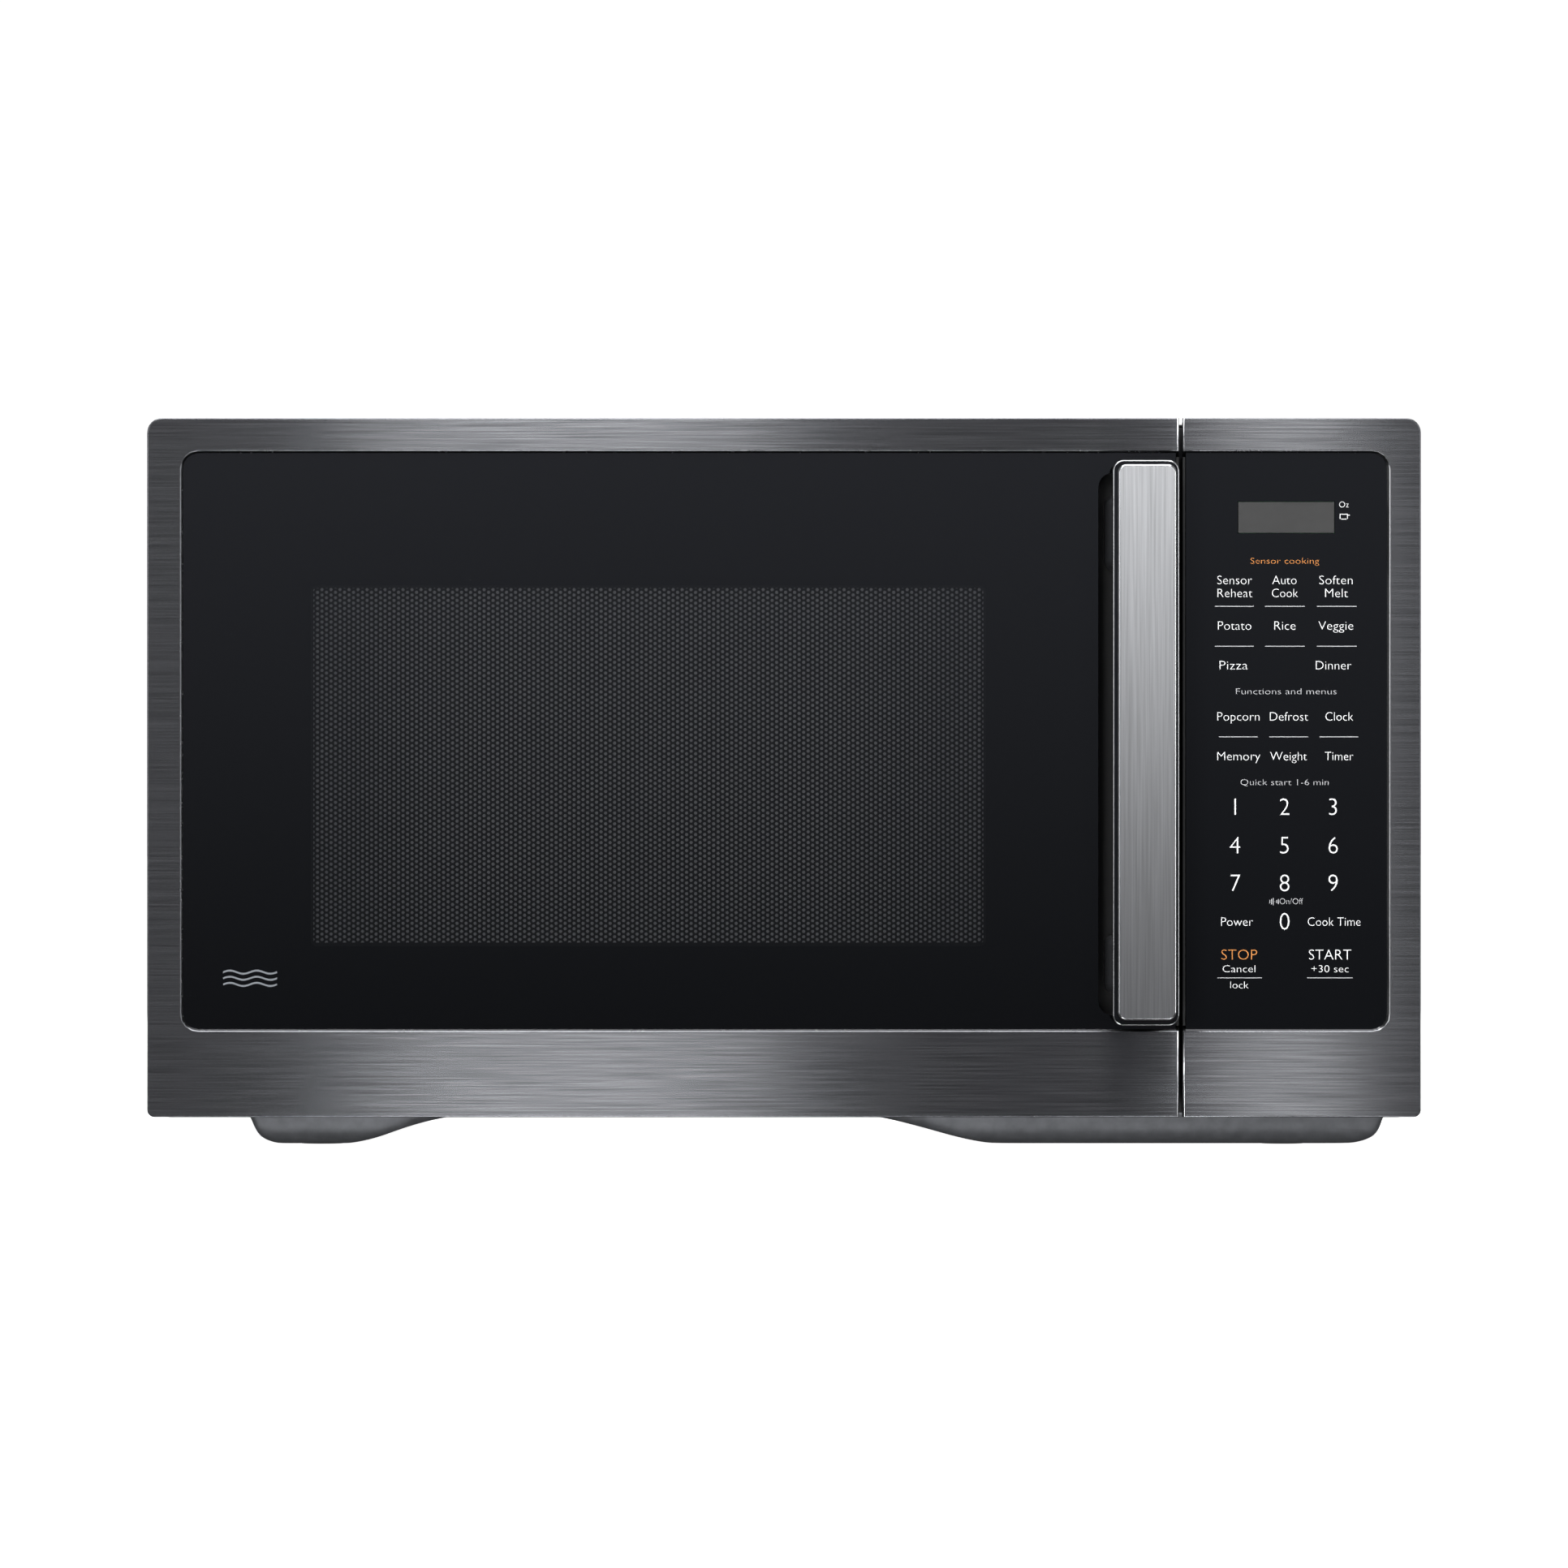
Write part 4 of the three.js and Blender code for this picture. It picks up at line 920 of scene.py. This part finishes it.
def legends():
    """Plain words, numbers and rules of the touch fields."""
    left, centre, right = 183.9, 204.4, 225.4
    small, key, capital, number = 2.5, 3.65, 4.3, 7.2
    number_columns, number_rows = (184.2, 204.4, 224.2), (138.9, 123.2, 107.8)
    white = [
        ("Oz", 228.6, 262.6, 2.5, 4.0),
        ("Sensor", left, 231.7, key, 14.2),
        ("Reheat", left, 226.4, key, 14.2),
        ("Auto", centre, 231.7, key, 9.9),
        ("Cook", centre, 226.4, key, 10.6),
        ("Soften", right, 231.7, key, 13.6),
        ("Melt", right, 226.4, key, 9.3),
        ("Potato", left, 213.1, key, 13.6),
        ("Rice", centre, 213.1, key, 8.6),
        ("Veggie", right, 213.1, key, 14.2),
        ("Pizza", 183.4, 196.9, key, 11.5),
        ("Dinner", 224.2, 196.9, key, 14.5),
        ("Popcorn", 185.5, 176.0, key, 17.2),
        ("Defrost", 206.0, 176.0, key, 15.6),
        ("Clock", 226.6, 176.0, key, 11.3),
        ("Memory", 185.5, 159.8, key, 17.5),
        ("Weight", 206.0, 159.8, key, 15.0),
        ("Timer", 226.6, 159.8, key, 11.6),
        ("Power", 184.8, 92.2, key, 13.0),
        ("Cook Time", 224.6, 92.2, key, 21.5),
        ("START", 222.9, 78.7, capital, 17.3),
        ("+30 sec", 222.9, 73.0, 3.0, 15.2),
        ("Cancel", 185.8, 73.0, 3.0, 13.3),
        ("lock", 185.8, 66.4, 3.0, 7.4),
    ]
    grey = [
        ("Functions and menus", 205.0, 186.3, small, 41.0),
        ("Quick start 1-6 min", 204.4, 149.2, small, 36.0),
        ("On/Off", 207.0, 100.6, small, 9.6),
    ]
    numbers = [
        (str(3 * row + column + 1), x, z, number, 0)
        for row, z in enumerate(number_rows)
        for column, x in enumerate(number_columns)
    ] + [("0", number_columns[1], 92.1, number, 0)]
    cup = [
        rule(226.9 * MM, 230.2 * MM, 258.6 * MM),
        rule(227.4 * MM, 229.7 * MM, 256.6 * MM),
        rule(226.9 * MM, 227.2 * MM, 256.9 * MM, 1.7 * MM),
        rule(229.9 * MM, 230.2 * MM, 256.9 * MM, 1.7 * MM),
        rule(230.2 * MM, 231.0 * MM, 258.2 * MM),
    ]
    place(
        joined("legends_white", [lettering(*words) for words in white + numbers] + cup),
        "chassis",
        WHITE_INK,
        "white_plastic",
    )
    orange = [("Sensor cooking", 204.4, 239.6, small, 28.0), ("STOP", 185.8, 78.7, capital, 14.6)]
    place(
        joined("legends_orange", [lettering(*words) for words in orange]),
        "chassis",
        ORANGE_INK,
        "white_plastic",
    )
    rules = [
        rule(x0 * MM, x1 * MM, z * MM)
        for z, spans in (
            (221.0, ((175.9, 191.8), (196.4, 212.6), (217.6, 233.8))),
            (204.7, ((175.9, 191.8), (196.4, 212.6), (217.6, 233.8))),
            (167.7, ((177.5, 193.4), (198.1, 214.0), (218.6, 234.5))),
            (69.3, ((176.9, 195.1), (213.6, 232.2))),
        )
        for x0, x1 in spans
    ]
    place(
        joined("legends_grey", [lettering(*words) for words in grey] + rules),
        "chassis",
        PALE_INK,
        "white_plastic",
    )
    speaker = [
        rule((198.2 + 0.7 * k) * MM, (198.5 + 0.7 * k) * MM, (100.6 - tall / 2) * MM, tall * MM)
        for k, tall in enumerate((1.4, 2.2, 3.0, 0.1, 1.2, 2.0))
    ]
    place(joined("sound_sign", speaker), "chassis", PALE_INK, "white_plastic")
    waves = [wave(-229 * MM, z * MM, 22 * MM, 1.3 * MM, 0.75 * MM) for z in (66.4, 68.9, 71.4)]
    place(joined("door_wave_sign", waves), "door", GREY_INK, "grey_lens")


def controls():
    """The fixed right end of the front: its trim, glass, display lens, housing and printed legends."""
    trim("control_trim", "control_trim_brushed", PANEL_LEFT, "chassis", "black_stainless")
    finish_with(nodes["control_glass"], CONTROL_GLOSS)
    finish_with(nodes["display_lens"], GREY_LENS)
    housing = copy_of("control_housing", "control_housing_moulded")
    soften(housing, 0.4 * MM, 2, 30)
    place(housing, "chassis", MATT_BLACK, "black_matt", "control_housing")
    legends()


# ---------------------------------------------------------------- casing


# The depth of the base pan's pressings at six nested rings, from the mouth to the flat of the sole.
RING_DEPTHS = (0, 3.3, 7.3, 10.3, 12.3, 12.3)
FOOT_LEFT = (-220.3, -218.9, -217.2, -214.8, -209.5, -205)
FOOT_RIGHT = (-132, -149, -160.6, -168.5, -178, -182)
RAIL_LEFT = (33, 49, 63, 73.5, 84, 90)
RAIL_RIGHT = (247, 246, 244.6, 241.6, 235, 228)
FRONT_ENDS = (-142, -141, -140, -138.6, -135.6, -132)
FRONT_FOOT_BACK = (-83, -86, -90, -94, -99, -103)
REAR_FOOT_FRONT = (134, 137, 141, 145, 150, 154)
REAR_ENDS = (190, 187.5, 184.5, 181.5, 177, 173)


def base_pan():
    """One steel sheet with a low wall, and two feet and a long rail pressed down into it in soft curves."""
    x = side("base_plate", LEAST, "x"), side("base_plate", MOST, "x")
    y = side("base_plate", LEAST, "y"), side("base_plate", MOST, "y")
    wall_top = side("base_plate", MOST, "z")
    belly = wall_top - 13 * MM
    pan = box("base_pan", x, y, (belly, wall_top))
    edit(pan)
    pick(pan, "faces", lambda m, f: m.z > wall_top - 1 * MM)
    bpy.ops.mesh.delete(type="FACE")
    # The last few cuts of each row keep the sheet flat beside the pressings and the wall upright.
    across = FOOT_LEFT + FOOT_RIGHT + RAIL_LEFT + RAIL_RIGHT + (-255, -223, -126, 27, 250, 255)
    along = FRONT_ENDS + FRONT_FOOT_BACK + REAR_FOOT_FRONT + REAR_ENDS + (-80, 131, 193, 209)
    cuts = [((v * MM, 0, 0), (1, 0, 0)) for v in across] + [((0, v * MM, 0), (0, 1, 0)) for v in along]
    for point, way in cuts + [((0, 0, belly + 2.5 * MM), (0, 0, 1))]:
        bpy.ops.mesh.select_all(action="SELECT")
        bpy.ops.mesh.bisect(plane_co=point, plane_no=way)
    for left, right, front, back in (
        (FOOT_LEFT, FOOT_RIGHT, FRONT_ENDS, FRONT_FOOT_BACK),
        (FOOT_LEFT, FOOT_RIGHT, REAR_FOOT_FRONT, REAR_ENDS),
        (RAIL_LEFT, RAIL_RIGHT, FRONT_ENDS, REAR_ENDS),
    ):
        for ring in range(1, len(RING_DEPTHS)):
            x0, x1, y0, y1 = (line[ring] * MM for line in (left, right, front, back))
            near = 0.01 * MM
            pick(
                pan,
                "verts",
                lambda m, v: x0 - near < m.x < x1 + near
                and y0 - near < m.y < y1 + near
                and m.z < belly + near,
            )
            step = (RING_DEPTHS[ring] - RING_DEPTHS[ring - 1]) * MM
            bpy.ops.transform.translate(value=(0, 0, -step))
    done()
    apply(pan, "SUBSURF", levels=2, render_levels=2)
    apply(pan, "SOLIDIFY", thickness=0.8 * MM, offset=-1)
    slot_centres = [(-68 + 10 * k) * MM for k in range(8)]
    slots = [
        box("slot", (at - 1 * MM, at + 1 * MM), (60 * MM, 100 * MM), (0, 20 * MM), 0.9 * MM, "Z")
        for at in slot_centres
    ]
    cut_away(pan, joined("slots", slots))
    fold = box(
        "fold",
        (x[0] + 4 * MM, x[1] - 4 * MM),
        (y[0] + 0.2 * MM, y[0] + 1.4 * MM),
        (belly - 1.4 * MM, wall_top),
    )
    soften(fold, 0.4 * MM, 2, 30)
    pan = joined("base_pan", [pan, fold])
    smooth(pan, 50)
    place(pan, "chassis", BASE_ZINC, "zinc_steel", "base_plate")


def casing():
    """The coated wrapper, the pressed rear cover and the base pan."""
    case = copy_of("outer_case", "case_coated")
    soften(case, 0.25 * MM, 2, 30)
    place(case, "chassis", CASE_COAT, "case_paint", "outer_case")
    cover = copy_of("rear_cover", "rear_cover_pressed")
    soften(cover, 0.6 * MM, 2, 20)
    place(cover, "chassis", ZINC, "zinc_steel", "rear_cover")
    base_pan()


# ---------------------------------------------------------------- cavity and turntable


def glass_tray():
    """Pressed glass tray: flat middle, a swept rim with a fire-polished lip, and three drive lugs below."""
    low = side("glass_tray", MOST, "z") - 13 * MM
    outside = [(60, 0), (141, 0), (146, 0.5), (150, 1.7), (153.5, 4), (156, 7.5), (157.2, 10.8)]
    lip = [(157.5, 12), (156.9, 12.8), (155.8, 13), (154.6, 12.4)]
    inside_of_rim = [(153.4, 10.4), (151, 7.6), (147.5, 5.6), (142.5, 4.7), (138, 4.5), (60, 4.5)]
    plate = turned(
        "glass_tray_pressed",
        [(radius * MM, low + height * MM) for radius, height in outside + lip + inside_of_rim],
        96,
        (TABLE_X, TABLE_Y),
    )
    smooth(plate, 60)
    lugs = []
    for k in range(3):
        angle = math.radians(60 + 120 * k)
        centre = (TABLE_X + 14 * MM * math.cos(angle), TABLE_Y + 14 * MM * math.sin(angle))
        outline = [(3.4 * MM, low - 6 * MM), (4 * MM, low - 5.4 * MM), (4 * MM, low + 0.5 * MM)]
        lug = turned("lug", outline, 24, centre)
        smooth(lug, 50)
        lugs.append(lug)
    tray = joined("glass_tray_pressed", [plate] + lugs)
    place(tray, "turntable", CLEAR_GLASS, "clear_glass", "glass_tray")


def refined(node, body, finish, slot, radius, degrees=30):
    """A CAD piece with its edges rounded as the real one's are."""
    piece = copy_of(node, f"{node}_finished")
    soften(piece, radius * MM, 2, degrees)
    return place(piece, body, finish, slot, node)


def inside():
    """The cavity, the turntable and the other pieces whose rounded edges can be seen."""
    glass_tray()
    for node, finish, slot, radius in (
        ("front_plate", CASE_COAT, "case_paint", 0.3),
        ("cavity_wrap", CAVITY_COAT, "cavity_paint", 0.2),
        ("cavity_floor", CAVITY_COAT, "cavity_paint", 0.2),
        ("cavity_rear_wall", CAVITY_COAT, "cavity_paint", 0.2),
        ("hinge_bracket_upper", BRIGHT_ZINC, "zinc_steel", 0.3),
        ("hinge_bracket_lower", BRIGHT_ZINC, "zinc_steel", 0.3),
        ("mains_bush", MATT_BLACK, "black_matt", 0.4),
        ("waveguide_cover", MICA, "mica", 0.1),
        ("oven_lamp", ACETAL, "white_plastic", 0.6),
    ):
        refined(node, "chassis", finish, slot, radius)
    refined("drive_hub", "turntable", ACETAL, "white_plastic", 0.4)
    refined("roller_ring", "roller_ring", ACETAL, "white_plastic", 0.4)
    for place_in_line, number in (("first", 1), ("second", 2), ("third", 3)):
        refined(f"roller_{number}", f"{place_in_line}_roller", ACETAL, "white_plastic", 0.4)
    refined("fan_wheel", "fan", FAN_NYLON, "black_matt", 0.2)
    for number in (1, 2, 3, 4):
        refined(f"case_screw_{number}", "chassis", BRIGHT_ZINC, "zinc_steel", 0.2)
    for end in ("front", "rear"):
        for hand in ("left", "right"):
            refined(f"foot_pad_{end}_{hand}", "chassis", RUBBER, "rubber", 0.3)


def works():
    """The pieces behind the panels, which keep the shapes of their CAD nodes."""
    for node, finish in {
        "waveguide": ALUMINIUM,
        "magnetron": ALUMINIUM,
        "transformer_core": CORE_STEEL,
        "transformer_coils": WINDING,
        "capacitor": ALUMINIUM,
        "filter_board": BOARD,
        "fan_baffle": ACETAL,
        "fan_motor": ZINC,
        "interlock_bracket": ACETAL,
        "primary_switch": MATT_BLACK,
        "secondary_switch": MATT_BLACK,
        "monitor_switch": MATT_BLACK,
        "switch_lever": ACETAL,
        "touch_film": MATT_BLACK,
        "control_board": BOARD,
        "turntable_motor": ZINC,
        "latch_spring": BRIGHT_ZINC,
        "handle_screw_1": BRIGHT_ZINC,
        "handle_screw_2": BRIGHT_ZINC,
    }.items():
        finish_with(nodes[node], finish)


# ---------------------------------------------------------------- making the oven

camera()
studio()
door_front()
perforated_screen()
handle()
door_back()
controls()
casing()
inside()
works()

bpy.context.scene.view_settings.view_transform = "Standard"
